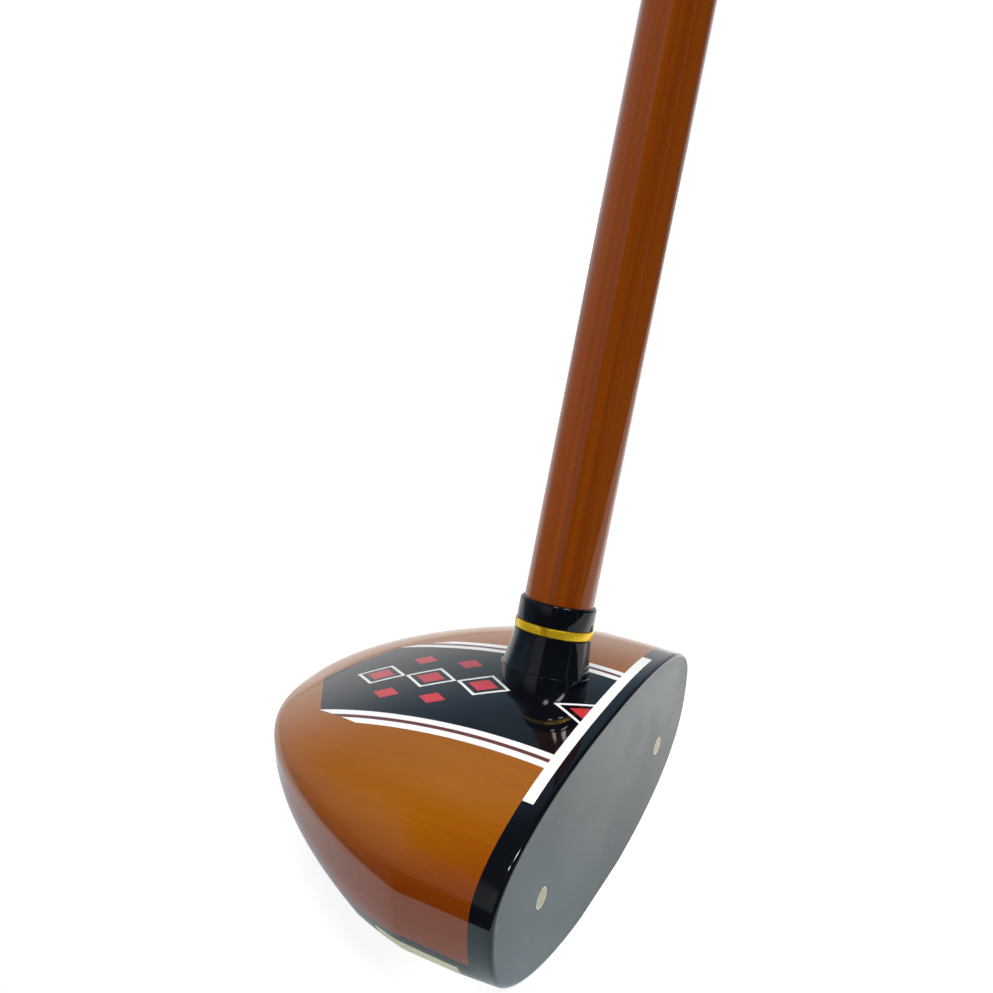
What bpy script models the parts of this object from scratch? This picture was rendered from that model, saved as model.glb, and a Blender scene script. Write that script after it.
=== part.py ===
"""Park golf club for a right-handed player, modelled at real size in metres.

The striking face looks along -Y, the toe is on the -X side, the heel on the +X side and the crown
on top. The shaft leaves the crown a little on the heel side and leans towards +X. The club's
origin is the middle of the sole plate's flat. The functions below take depth y from the striking
face, and CLUB_FRAME carries every piece from there to the club's origin.
"""

import math

import bmesh
import bpy
from mathutils import Matrix, Vector

# Clearance between two pieces that touch
GAP = 0.0003

# Reach of a cutter past the surface that it opens
CUT_MARGIN = 0.0040

# Head, outer form
HEAD_WIDTH = 0.1307
HEAD_DEPTH = 0.1024
WIDEST_HEIGHT = 0.0376
CROWN_RISE = 0.0219
CROWN_TOP_Y = 0.0122
PARALLEL_DEPTH = 0.0262
SOLE_DEPTH = 0.0429
SOLE_LAND_DROP = 0.0006
SOLE_RELIEF_DEPTH = 0.0120

# Head, fullness of its curves: 2 is an ellipse, higher is squarer
PLAN_NOSE_POWER = 1.28
PLAN_SIDE_POWER = 2.21
CROWN_LINE_POWER = 1.90
CROWN_LINE_ROOT = 0.90
SOLE_LINE_POWER = 0.89
CROWN_POWER_FRONT = 2.33
CROWN_POWER_BACK = 2.44
SKIRT_POWER_FRONT = 1.92
SKIRT_POWER_BACK = 3.20
SOLE_POWER_FACE = 2.72
SOLE_POWER = 2.96

# Face plate and its pins
FACE_THICKNESS = 0.0062
FACE_EDGE_RADIUS = 0.0012
PIN_DIAMETER = 0.0057
PIN_LENGTH = 0.0180
PIN_SIDE_DISTANCE = 0.02535
PIN_HEIGHT = 0.0274
PIN_DROP_TO_HEEL = 0.0033
PIN_CHAMFER = 0.0004

# Brass sole plate, let into the sole behind the face plate
SOLE_PLATE_THICKNESS = 0.0020
SOLE_PLATE_FRONT = 0.0100
SOLE_PLATE_LENGTH = 0.0240
SOLE_PLATE_RISE = 0.0220

# Countersunk screws in the sole plate
SCREW_HEAD_DIAMETER = 0.0064
SCREW_HEAD_DEPTH = 0.0016
SCREW_SHANK_DIAMETER = 0.0030
SCREW_LENGTH = 0.0130
SCREW_TIP_LENGTH = 0.0020
SCREW_RECESS_DEPTH = 0.0011
SCREW_RECESS_LENGTH = 0.0036
SCREW_RECESS_WIDTH = 0.0009
SCREW_HEAD_SINK = 0.0002
SCREW_EDGE_DISTANCE = 0.0048
SCREW_SIDE_DISTANCE = 0.02095

# Balance weights in pockets above the sole plate
WEIGHT_DIAMETER = 0.0160
WEIGHT_HEIGHT = 0.0080
WEIGHT_CHAMFER = 0.0006
WEIGHT_SIDE_DISTANCE = 0.04185

# Shaft, a tube that stands in a bore of the head
NECK_X = 0.0104
NECK_Y = 0.0258
SHAFT_LEAN = math.radians(18.8)
CLUB_LENGTH = 0.8350
SHAFT_TIP_DIAMETER = 0.0200
SHAFT_BUTT_DIAMETER = 0.0208
SHAFT_WALL = 0.0030
SHAFT_SEAT_DEPTH = 0.0360
SHAFT_END_CHAMFER = 0.0005
PLUG_LENGTH = 0.0200
PLUG_CHAMFER = 0.0008

# Ferrule: lower sleeve, ring and collar, stacked on the shaft above the crown
FERRULE_FOOT_DIAMETER = 0.0259
FERRULE_TOP_DIAMETER = 0.0221
FERRULE_SEAT_DEPTH = 0.0056
FERRULE_BASE_HEIGHT = 0.0118
FERRULE_RING_HEIGHT = 0.0026
FERRULE_RING_STAND = 0.0002
FERRULE_COLLAR_HEIGHT = 0.0056
FERRULE_EDGE_RADIUS = 0.0008
FERRULE_FLARE_POWER = 1.6

# Grip
GRIP_LENGTH = 0.2550
GRIP_MOUTH_DIAMETER = 0.0246
GRIP_BUTT_DIAMETER = 0.0284
GRIP_UNDERLAY_THICKNESS = 0.0006
GRIP_GROOVE_DEPTH = 0.0005
GRIP_GROOVE_WIDTH = 0.0016
GRIP_GROOVE_FLOOR = 0.0008
GRIP_GROOVE_COUNT = 3
GRIP_GROOVE_PITCH = 0.0070
GRIP_EDGE_RADIUS = 0.0008
GRIP_RING_HEIGHT = 0.0060
GRIP_RING_WALL = 0.0018
GRIP_RING_EDGE_RADIUS = 0.0009
CAP_HEIGHT = 0.0050
CAP_EDGE_RADIUS = 0.0018
CAP_SPIGOT_LENGTH = 0.0080

# Fineness of the meshes
HEAD_RINGS = 22
HEAD_HALF_STEPS = 28
FACE_EDGE_STEPS = 3
SOLE_PLATE_STEPS = 24
SOLE_PLATE_ROWS = 4
ROUND_STEPS = 40
SMALL_ROUND_STEPS = 16
EDGE_STEPS = 3
FLARE_STEPS = 8
SLOPE_STEP = 0.001
MERGE_DISTANCE = 0.00001
FLAT_ANGLE = 0.0005
SHARP_ANGLE = math.radians(32)

# From the striking face's foot to the middle of the sole plate's flat
CLUB_FRAME = Matrix.Translation((0.0, -SOLE_PLATE_FRONT - 0.5 * SOLE_PLATE_LENGTH, 0.0))

# Colours
LACQUER_BROWN = (0.36, 0.105, 0.018)
SHAFT_BROWN = (0.22, 0.055, 0.008)
GLOSS_BLACK = (0.006, 0.007, 0.009)
FACE_GREY = (0.20, 0.23, 0.23)
BRASS = (0.72, 0.53, 0.20)
GOLD = (0.80, 0.56, 0.05)
PALE_PIN = (0.55, 0.50, 0.33)
STEEL = (0.60, 0.60, 0.60)
RUBBER_BLACK = (0.018, 0.018, 0.019)
TAPE_GREY = (0.35, 0.34, 0.31)
PLUG_WOOD = (0.45, 0.30, 0.16)


def clear_scene():
    """Remove every object of the scene that was open."""
    for old in list(bpy.data.objects):
        bpy.data.objects.remove(old, do_unlink=True)


def make_material(name, colour, roughness, metallic=0.0):
    """Return a Principled material of one colour."""
    material = bpy.data.materials.new(name)
    material.use_nodes = True
    shader = material.node_tree.nodes["Principled BSDF"]
    shader.inputs["Base Color"].default_value = (*colour, 1.0)
    shader.inputs["Roughness"].default_value = roughness
    shader.inputs["Metallic"].default_value = metallic
    material.diffuse_color = (*colour, 1.0)
    return material


def add_object(name, mesh, material=None, matrix=None):
    """Link an object that shows the mesh, with its material and its place."""
    thing = bpy.data.objects.new(name, mesh)
    bpy.context.collection.objects.link(thing)
    if material is not None and not mesh.materials:
        mesh.materials.append(material)
    thing.matrix_world = CLUB_FRAME if matrix is None else CLUB_FRAME @ matrix
    return thing


def mesh_from_bmesh(name, bm):
    """Turn a bmesh into a mesh with its faces pointing out and its round faces smooth."""
    bmesh.ops.recalc_face_normals(bm, faces=bm.faces)
    mesh = bpy.data.meshes.new(name)
    bm.to_mesh(mesh)
    bm.free()
    mesh.shade_smooth()
    mesh.set_sharp_from_angle(angle=SHARP_ANGLE)
    return mesh


def cut(body, cutters):
    """Cut each cutter out of the body; the cutters stay in the file as hidden guides."""
    for cutter in cutters:
        cutter.hide_render = True
        cutter.display_type = "WIRE"
        boolean = body.modifiers.new(cutter.name, "BOOLEAN")
        boolean.operation = "DIFFERENCE"
        boolean.solver = "EXACT"
        boolean.object = cutter


# The head's form

def head_half_width(y):
    """Half width of the head at depth y, parallel at first and then rounded to the back."""
    run = (y - PARALLEL_DEPTH) / (HEAD_DEPTH - PARALLEL_DEPTH)
    run = min(max(run, 0.0), 1.0)
    return 0.5 * HEAD_WIDTH * (1.0 - run ** PLAN_NOSE_POWER) ** (1.0 / PLAN_SIDE_POWER)


def crown_rise(y):
    """Rise of the crown's middle line above the widest line at depth y."""
    run = min(abs(y - CROWN_TOP_Y) / (HEAD_DEPTH - CROWN_TOP_Y), 1.0)
    return CROWN_RISE * (1.0 - run ** CROWN_LINE_POWER) ** CROWN_LINE_ROOT


def sole_drop(y):
    """Drop of the sole's middle line below the widest line at depth y, before the flat is cut."""
    run = min(max((y - SOLE_DEPTH) / (HEAD_DEPTH - SOLE_DEPTH), 0.0), 1.0)
    return (WIDEST_HEIGHT + SOLE_LAND_DROP) * math.sqrt(1.0 - run ** SOLE_LINE_POWER)


def blend(front, back, y):
    """Value that goes evenly from the face to the back of the head."""
    return front + (back - front) * y / HEAD_DEPTH


def signed_power(value, power):
    """Power of a signed value that keeps its sign."""
    return math.copysign(abs(value) ** power, value)


def crown_powers(y):
    """Fullness of the cross section above the widest line, sideways and upwards."""
    power = blend(CROWN_POWER_FRONT, CROWN_POWER_BACK, y)
    return power, power


def sole_powers(y):
    """Fullness of the cross section below the widest line, sideways and downwards.

    The sole is relieved a little next to the face.
    """
    relief = 1.0 - min(y / SOLE_RELIEF_DEPTH, 1.0)
    return (blend(SKIRT_POWER_FRONT, SKIRT_POWER_BACK, y),
            SOLE_POWER + (SOLE_POWER_FACE - SOLE_POWER) * relief)


def head_section(y, inset=0.0):
    """Points of the head's cross section at depth y, drawn in by inset all round.

    They run from the heel over the crown to the toe and back under the sole.
    """
    half_width = head_half_width(y) - inset
    points = []
    for step in range(2 * HEAD_HALF_STEPS):
        angle = math.pi * step / HEAD_HALF_STEPS
        above = step < HEAD_HALF_STEPS
        side_power, height_power = crown_powers(y) if above else sole_powers(y)
        reach = (crown_rise(y) if above else sole_drop(y)) - inset
        x = half_width * signed_power(math.cos(angle), 2.0 / side_power)
        z = WIDEST_HEIGHT + reach * signed_power(math.sin(angle), 2.0 / height_power)
        points.append(Vector((x, y, max(z, inset))))
    return points


def crown_height(x, y):
    """Height of the crown's surface above the sole at a place in plan."""
    side_power, height_power = crown_powers(y)
    share = 1.0 - (abs(x) / head_half_width(y)) ** side_power
    return WIDEST_HEIGHT + crown_rise(y) * share ** (1.0 / height_power)


def sole_height(reach, y):
    """Height of the sole's surface; reach is -1 at the toe and 1 at the heel."""
    side_power, height_power = sole_powers(y)
    share = (1.0 - abs(reach) ** side_power) ** (1.0 / height_power)
    return max(WIDEST_HEIGHT - sole_drop(y) * share, 0.0)


def sole_point(reach, y, depth=0.0):
    """Point under the sole's surface, depth into the head, and the way out of the sole there."""
    half_width = head_half_width(y)
    before, point, after = (Vector((place * half_width, y, sole_height(place, y)))
                            for place in (reach - SLOPE_STEP, reach, reach + SLOPE_STEP))
    along = (after - before).normalized()
    outward = Vector((along.z, 0.0, -along.x))
    return point - outward * depth, outward


def sole_frame(x, y):
    """Matrix that puts an upright piece on the sole, its +Z pointing out of the head."""
    point, outward = sole_point(x / head_half_width(y), y)
    return Matrix.Translation(point) @ outward.to_track_quat("Z", "Y").to_matrix().to_4x4()


def plate_reach(y):
    """Reach at which the sole has risen to the height of the sole plate's ends."""
    side_power, height_power = sole_powers(y)
    share = min((WIDEST_HEIGHT - SOLE_PLATE_RISE) / sole_drop(y), 1.0)
    return (1.0 - share ** height_power) ** (1.0 / side_power)


def loft(rings, end_point=None):
    """Close a row of rings of points into a solid; the last ring may run into one point."""
    bm = bmesh.new()
    rows = [[bm.verts.new(point) for point in ring] for ring in rings]
    count = len(rows[0])
    for row, following in zip(rows, rows[1:]):
        for index in range(count):
            turn = (index + 1) % count
            bm.faces.new((row[index], row[turn], following[turn], following[index]))
    bm.faces.new(rows[0])
    if end_point is None:
        bm.faces.new(rows[-1])
    else:
        tip = bm.verts.new(end_point)
        for index in range(count):
            bm.faces.new((rows[-1][index], rows[-1][(index + 1) % count], tip))
    bmesh.ops.remove_doubles(bm, verts=bm.verts, dist=MERGE_DISTANCE)
    return bm


def sole_shell(name, margin, front, back, out_depth, in_depth):
    """Curved plate that follows the sole, between two depths under its surface.

    It reaches a margin past the sole plate's ends.
    """
    bm = bmesh.new()
    grids = []
    for depth in (out_depth, in_depth):
        grid = []
        for row in range(SOLE_PLATE_ROWS + 1):
            y = front + (back - front) * row / SOLE_PLATE_ROWS
            reach = plate_reach(y) + margin / head_half_width(y)
            line = []
            for step in range(SOLE_PLATE_STEPS + 1):
                turn = math.pi * (step / SOLE_PLATE_STEPS - 0.5)
                line.append(bm.verts.new(sole_point(reach * math.sin(turn), y, depth)[0]))
            grid.append(line)
        grids.append(grid)
    for grid in grids:
        for line, following in zip(grid, grid[1:]):
            for step in range(SOLE_PLATE_STEPS):
                bm.faces.new((line[step], line[step + 1], following[step + 1], following[step]))
    outer, inner = grids
    for row in (0, SOLE_PLATE_ROWS):
        for step in range(SOLE_PLATE_STEPS):
            bm.faces.new((outer[row][step], outer[row][step + 1],
                          inner[row][step + 1], inner[row][step]))
    for step in (0, SOLE_PLATE_STEPS):
        for row in range(SOLE_PLATE_ROWS):
            bm.faces.new((outer[row][step], outer[row + 1][step],
                          inner[row + 1][step], inner[row][step]))
    bmesh.ops.recalc_face_normals(bm, faces=bm.faces)
    bmesh.ops.dissolve_limit(bm, angle_limit=FLAT_ANGLE, verts=bm.verts, edges=bm.edges)
    return mesh_from_bmesh(name, bm)


# Round pieces

def turned(name, profile, steps):
    """Solid of revolution about Z from (radius, height) points.

    A profile that starts and ends on the axis is a solid, any other profile is a closed loop.
    """
    bm = bmesh.new()
    on_axis = profile[0][0] == 0.0
    rows = []
    for radius, height in profile:
        if radius == 0.0:
            rows.append([bm.verts.new((0.0, 0.0, height))] * steps)
            continue
        row = []
        for step in range(steps):
            angle = 2.0 * math.pi * step / steps
            row.append(bm.verts.new((radius * math.cos(angle), radius * math.sin(angle), height)))
        rows.append(row)
    pairs = list(zip(rows, rows[1:]))
    if not on_axis:
        pairs.append((rows[-1], rows[0]))
    for row, following in pairs:
        for step in range(steps):
            turn = (step + 1) % steps
            corners = [row[step], row[turn], following[turn], following[step]]
            bm.faces.new(list(dict.fromkeys(corners)))
    return mesh_from_bmesh(name, bm)


def rounded(radius, height, edge, side):
    """Profile points of a rounded rim, from the wall to the end face.

    Side is 1 for a rim at the top of an outer wall and -1 for one at the bottom, running up to it.
    """
    points = []
    for step in range(EDGE_STEPS + 1):
        angle = 0.5 * math.pi * step / EDGE_STEPS
        points.append((radius - edge + edge * math.cos(angle),
                       height - side * (edge - edge * math.sin(angle))))
    return points if side > 0 else points[::-1]


def chamfered_rod(name, radius, bottom, top, chamfer, steps):
    """Rod about Z with a chamfer at each end."""
    profile = [(0.0, bottom), (radius - chamfer, bottom), (radius, bottom + chamfer),
               (radius, top - chamfer), (radius - chamfer, top), (0.0, top)]
    return turned(name, profile, steps)


# The shaft's axis

NECK_POINT = Vector((NECK_X, NECK_Y, crown_height(NECK_X, NECK_Y)))
SHAFT_FRAME = Matrix.Translation(NECK_POINT) @ Matrix.Rotation(SHAFT_LEAN, 4, "Y")
BUTT_HEIGHT = CLUB_LENGTH - NECK_POINT.z / math.cos(SHAFT_LEAN)
TUBE_TOP = BUTT_HEIGHT - CAP_HEIGHT - GAP
TUBE_BOTTOM = -SHAFT_SEAT_DEPTH


def shaft_radius(height):
    """Outer radius of the shaft at a height along its axis above the crown."""
    share = (height - TUBE_BOTTOM) / (TUBE_TOP - TUBE_BOTTOM)
    return 0.5 * (SHAFT_TIP_DIAMETER + (SHAFT_BUTT_DIAMETER - SHAFT_TIP_DIAMETER) * share)


def build_head(materials):
    """Wooden head with its bore, pockets and pilot holes."""
    front = FACE_THICKNESS + GAP
    rings = []
    for step in range(HEAD_RINGS):
        y = front + (HEAD_DEPTH - front) * math.sin(0.5 * math.pi * step / HEAD_RINGS)
        rings.append(head_section(y))
    bm = loft(rings, Vector((0.0, HEAD_DEPTH, WIDEST_HEIGHT)))
    head = add_object("head_block", mesh_from_bmesh("head_block", bm), materials["wood"])

    bore_top = FERRULE_BASE_HEIGHT + CUT_MARGIN
    bore_floor = TUBE_BOTTOM - GAP
    bore = turned("bore_cut", [(0.0, bore_floor), (shaft_radius(bore_floor) + GAP, bore_floor),
                               (shaft_radius(bore_top) + GAP, bore_top), (0.0, bore_top)],
                  ROUND_STEPS)
    seat_radius = 0.5 * FERRULE_FOOT_DIAMETER + GAP
    seat = chamfered_rod("ferrule_seat_cut", seat_radius, -FERRULE_SEAT_DEPTH - GAP, bore_top,
                         GAP, ROUND_STEPS)
    pocket = sole_shell("sole_pocket_cut", GAP, SOLE_PLATE_FRONT - GAP,
                        SOLE_PLATE_FRONT + SOLE_PLATE_LENGTH + GAP,
                        -CUT_MARGIN, SOLE_PLATE_THICKNESS + GAP)
    cutters = [add_object("bore_cut", bore, matrix=SHAFT_FRAME),
               add_object("ferrule_seat_cut", seat, matrix=SHAFT_FRAME),
               add_object("sole_pocket_cut", pocket)]
    pilot = turned("pilot_cut", screw_profile(GAP), SMALL_ROUND_STEPS)
    for number, place in enumerate(screw_places(), 1):
        cutters.append(add_object(f"pilot_cut_{number}", pilot, matrix=sole_frame(*place)))
    well = chamfered_rod("weight_cut", 0.5 * WEIGHT_DIAMETER + GAP,
                         weight_top() - GAP, CUT_MARGIN, GAP, SMALL_ROUND_STEPS)
    for side, x in weight_places().items():
        cutters.append(add_object(f"weight_cut_{side}", well, matrix=sole_frame(x, sole_middle())))
    for side, frame in pin_frames().items():
        cutters.append(add_object(f"pin_cut_{side}", pin_hole(), matrix=frame))
    cut(head, cutters)


# Face plate

def pin_frames():
    """Matrix of each pin, which lays a rod along +Y into the face."""
    turn = Matrix.Rotation(-0.5 * math.pi, 4, "X")
    spread = 0.5 * HEAD_WIDTH - PIN_SIDE_DISTANCE
    frames = {}
    for side, way in (("toe", -1.0), ("heel", 1.0)):
        place = (way * spread, 0.0, PIN_HEIGHT - 0.5 * way * PIN_DROP_TO_HEEL)
        frames[side] = Matrix.Translation(place) @ turn
    return frames


def pin_hole():
    """Cutter for a face pin's hole, open at the face."""
    radius = 0.5 * PIN_DIAMETER + GAP
    return chamfered_rod("pin_cut", radius, -CUT_MARGIN, PIN_LENGTH + GAP, GAP, SMALL_ROUND_STEPS)


def build_face(materials):
    """Striking plate with its rounded front edge, and the two pins that key it to the wood."""
    rings = []
    for step in range(FACE_EDGE_STEPS + 1):
        angle = 0.5 * math.pi * step / FACE_EDGE_STEPS
        y = FACE_EDGE_RADIUS * (1.0 - math.cos(angle))
        rings.append(head_section(y, FACE_EDGE_RADIUS * (1.0 - math.sin(angle))))
    rings.append(head_section(FACE_THICKNESS))
    plate = add_object("face_plate", mesh_from_bmesh("face_plate", loft(rings)), materials["face"])
    cutters = []
    for side, frame in pin_frames().items():
        cutters.append(add_object(f"face_pin_cut_{side}", pin_hole(), matrix=frame))
    cut(plate, cutters)
    pin = chamfered_rod("face_pin", 0.5 * PIN_DIAMETER, 0.0, PIN_LENGTH, PIN_CHAMFER,
                        SMALL_ROUND_STEPS)
    for side, frame in pin_frames().items():
        add_object(f"face_pin_{side}", pin, materials["pin"], frame)


# Sole plate, screws and weights

def sole_middle():
    """Depth of the sole plate's middle."""
    return SOLE_PLATE_FRONT + 0.5 * SOLE_PLATE_LENGTH


def screw_places():
    """Place of each screw in plan: from the toe's side to the heel's, in two rows."""
    rows = (SOLE_PLATE_FRONT + SCREW_EDGE_DISTANCE,
            SOLE_PLATE_FRONT + SOLE_PLATE_LENGTH - SCREW_EDGE_DISTANCE)
    spread = 0.5 * HEAD_WIDTH - SCREW_SIDE_DISTANCE
    return [(x, y) for y in rows for x in (-spread, 0.0, spread)]


def screw_profile(clearance):
    """Outline of a countersunk screw whose head is up, or of its hole when clearance is given."""
    head = 0.5 * SCREW_HEAD_DIAMETER + clearance
    shank = 0.5 * SCREW_SHANK_DIAMETER + clearance
    top = CUT_MARGIN if clearance else -SCREW_HEAD_SINK
    neck = -SCREW_HEAD_SINK - SCREW_HEAD_DEPTH
    tip = -SCREW_LENGTH - clearance
    rim = [(head, -SCREW_HEAD_SINK), (head, top)] if clearance else [(head, top)]
    return [(0.0, tip), (shank, tip + SCREW_TIP_LENGTH), (shank, neck)] + rim + [(0.0, top)]


def weight_places():
    """Distance of each balance weight from the middle, towards toe or heel."""
    spread = 0.5 * HEAD_WIDTH - WEIGHT_SIDE_DISTANCE
    return {"toe": -spread, "heel": spread}


def weight_foot():
    """Height of a weight's lower face, clear of the curved plate all round."""
    y = sole_middle()
    half_width = head_half_width(y)
    x = 0.5 * HEAD_WIDTH - WEIGHT_SIDE_DISTANCE
    point, outward = sole_point(x / half_width, y)
    plate_back = SOLE_PLATE_THICKNESS + GAP
    deepest = plate_back
    for rim_x in (x - 0.5 * WEIGHT_DIAMETER, x + 0.5 * WEIGHT_DIAMETER):
        rim = sole_point(rim_x / half_width, y, plate_back)[0]
        deepest = max(deepest, (point - rim).dot(outward))
    return -deepest


def weight_top():
    """Height of a weight's upper face in its own frame, where up is out of the sole."""
    return weight_foot() - WEIGHT_HEIGHT


def build_sole(materials):
    """Brass plate bent to the sole, its six screws and the two weights it covers."""
    plate_mesh = sole_shell("sole_plate", 0.0, SOLE_PLATE_FRONT,
                            SOLE_PLATE_FRONT + SOLE_PLATE_LENGTH, 0.0, SOLE_PLATE_THICKNESS)
    plate = add_object("sole_plate", plate_mesh, materials["brass"])
    hole = turned("countersink_cut", screw_profile(GAP), SMALL_ROUND_STEPS)
    cutters = []
    for number, place in enumerate(screw_places(), 1):
        cutters.append(add_object(f"countersink_cut_{number}", hole, matrix=sole_frame(*place)))
    cut(plate, cutters)

    screw_mesh = cross_head_screw(materials["steel"])
    for number, place in enumerate(screw_places(), 1):
        add_object(f"sole_screw_{number}", screw_mesh, matrix=sole_frame(*place))
    weight = chamfered_rod("balance_weight", 0.5 * WEIGHT_DIAMETER, weight_top(), weight_foot(),
                           WEIGHT_CHAMFER, SMALL_ROUND_STEPS)
    for side, x in weight_places().items():
        add_object(f"balance_weight_{side}", weight, materials["weight"],
                   sole_frame(x, sole_middle()))


def cross_head_screw(material):
    """Mesh of one countersunk screw with a cross recess."""
    plain = add_object("screw_blank", turned("screw_blank", screw_profile(0.0), SMALL_ROUND_STEPS))
    cutters = []
    for name, size_x, size_y in (("recess_cut_1", SCREW_RECESS_LENGTH, SCREW_RECESS_WIDTH),
                                 ("recess_cut_2", SCREW_RECESS_WIDTH, SCREW_RECESS_LENGTH)):
        bm = bmesh.new()
        bmesh.ops.create_cube(bm, size=1.0)
        bmesh.ops.scale(bm, vec=(size_x, size_y, 2.0 * SCREW_RECESS_DEPTH), verts=bm.verts)
        bmesh.ops.translate(bm, vec=(0.0, 0.0, -SCREW_HEAD_SINK), verts=bm.verts)
        cutters.append(add_object(name, mesh_from_bmesh(name, bm)))
    cut(plain, cutters)
    bpy.context.view_layer.update()
    evaluated = plain.evaluated_get(bpy.context.evaluated_depsgraph_get())
    mesh = bpy.data.meshes.new_from_object(evaluated)
    mesh.name = "sole_screw"
    mesh.materials.clear()
    mesh.materials.append(material)
    for guide in (plain, *cutters):
        bpy.data.objects.remove(guide, do_unlink=True)
    return mesh


# Shaft and ferrule

def build_shaft(materials):
    """Tapered tube, open at both ends, with a plug in each end."""
    inner_bottom = shaft_radius(TUBE_BOTTOM) - SHAFT_WALL
    inner_top = shaft_radius(TUBE_TOP) - SHAFT_WALL
    profile = [(inner_bottom, TUBE_BOTTOM),
               (shaft_radius(TUBE_BOTTOM) - SHAFT_END_CHAMFER, TUBE_BOTTOM),
               (shaft_radius(TUBE_BOTTOM), TUBE_BOTTOM + SHAFT_END_CHAMFER),
               (shaft_radius(TUBE_TOP), TUBE_TOP - SHAFT_END_CHAMFER),
               (shaft_radius(TUBE_TOP) - SHAFT_END_CHAMFER, TUBE_TOP),
               (inner_top, TUBE_TOP)]
    tube = turned("shaft", profile, ROUND_STEPS)
    add_object("shaft", tube, materials["shaft"], SHAFT_FRAME)
    plug_radius = inner_bottom - GAP
    plug = chamfered_rod("tip_plug", plug_radius, TUBE_BOTTOM, TUBE_BOTTOM + PLUG_LENGTH,
                         PLUG_CHAMFER, SMALL_ROUND_STEPS)
    add_object("tip_plug", plug, materials["plug"], SHAFT_FRAME)
    plug_top = TUBE_TOP - CAP_SPIGOT_LENGTH - GAP
    plug_radius = shaft_radius(plug_top - PLUG_LENGTH) - SHAFT_WALL - GAP
    plug = chamfered_rod("butt_plug", plug_radius, plug_top - PLUG_LENGTH, plug_top,
                         PLUG_CHAMFER, SMALL_ROUND_STEPS)
    add_object("butt_plug", plug, materials["plug"], SHAFT_FRAME)


def sleeve_bore(height):
    """Inner radius of a piece that slips over the shaft at a height."""
    return shaft_radius(height) + GAP


def build_ferrule(materials):
    """Flared black sleeve standing in the crown, gold ring and black collar."""
    foot = 0.5 * FERRULE_FOOT_DIAMETER
    top = 0.5 * FERRULE_TOP_DIAMETER
    bottom = -FERRULE_SEAT_DEPTH
    profile = [(sleeve_bore(FERRULE_BASE_HEIGHT), bottom), (foot, bottom), (foot, 0.0)]
    for step in range(1, FLARE_STEPS + 1):
        share = step / FLARE_STEPS
        radius = top + (foot - top) * (1.0 - share) ** FERRULE_FLARE_POWER
        profile.append((radius, FERRULE_BASE_HEIGHT * share))
    profile.append((sleeve_bore(FERRULE_BASE_HEIGHT), FERRULE_BASE_HEIGHT))
    base = turned("ferrule_base", profile, ROUND_STEPS)
    add_object("ferrule_base", base, materials["ferrule"], SHAFT_FRAME)

    ring_bottom = FERRULE_BASE_HEIGHT + GAP
    ring_top = ring_bottom + FERRULE_RING_HEIGHT
    bore = sleeve_bore(ring_top)
    outer = top + FERRULE_RING_STAND
    edge = FERRULE_RING_STAND
    ring = turned("ferrule_ring", [(bore, ring_bottom), (outer - edge, ring_bottom),
                                   (outer, ring_bottom + edge), (outer, ring_top - edge),
                                   (outer - edge, ring_top), (bore, ring_top)], ROUND_STEPS)
    add_object("ferrule_ring", ring, materials["gold"], SHAFT_FRAME)

    collar_bottom = ring_top + GAP
    collar_top = collar_bottom + FERRULE_COLLAR_HEIGHT
    bore = sleeve_bore(collar_top)
    profile = [(bore, collar_bottom), (top, collar_bottom)]
    profile += rounded(top, collar_top, min(FERRULE_EDGE_RADIUS, top - bore), 1)
    profile.append((bore, collar_top))
    collar = turned("ferrule_collar", profile, ROUND_STEPS)
    add_object("ferrule_collar", collar, materials["ferrule"], SHAFT_FRAME)


# Grip

def grip_outer(height, mouth, butt):
    """Outer radius of the grip at a height, between its mouth and its butt."""
    share = (height - mouth) / (butt - mouth)
    return 0.5 * (GRIP_MOUTH_DIAMETER + (GRIP_BUTT_DIAMETER - GRIP_MOUTH_DIAMETER) * share)


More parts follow.
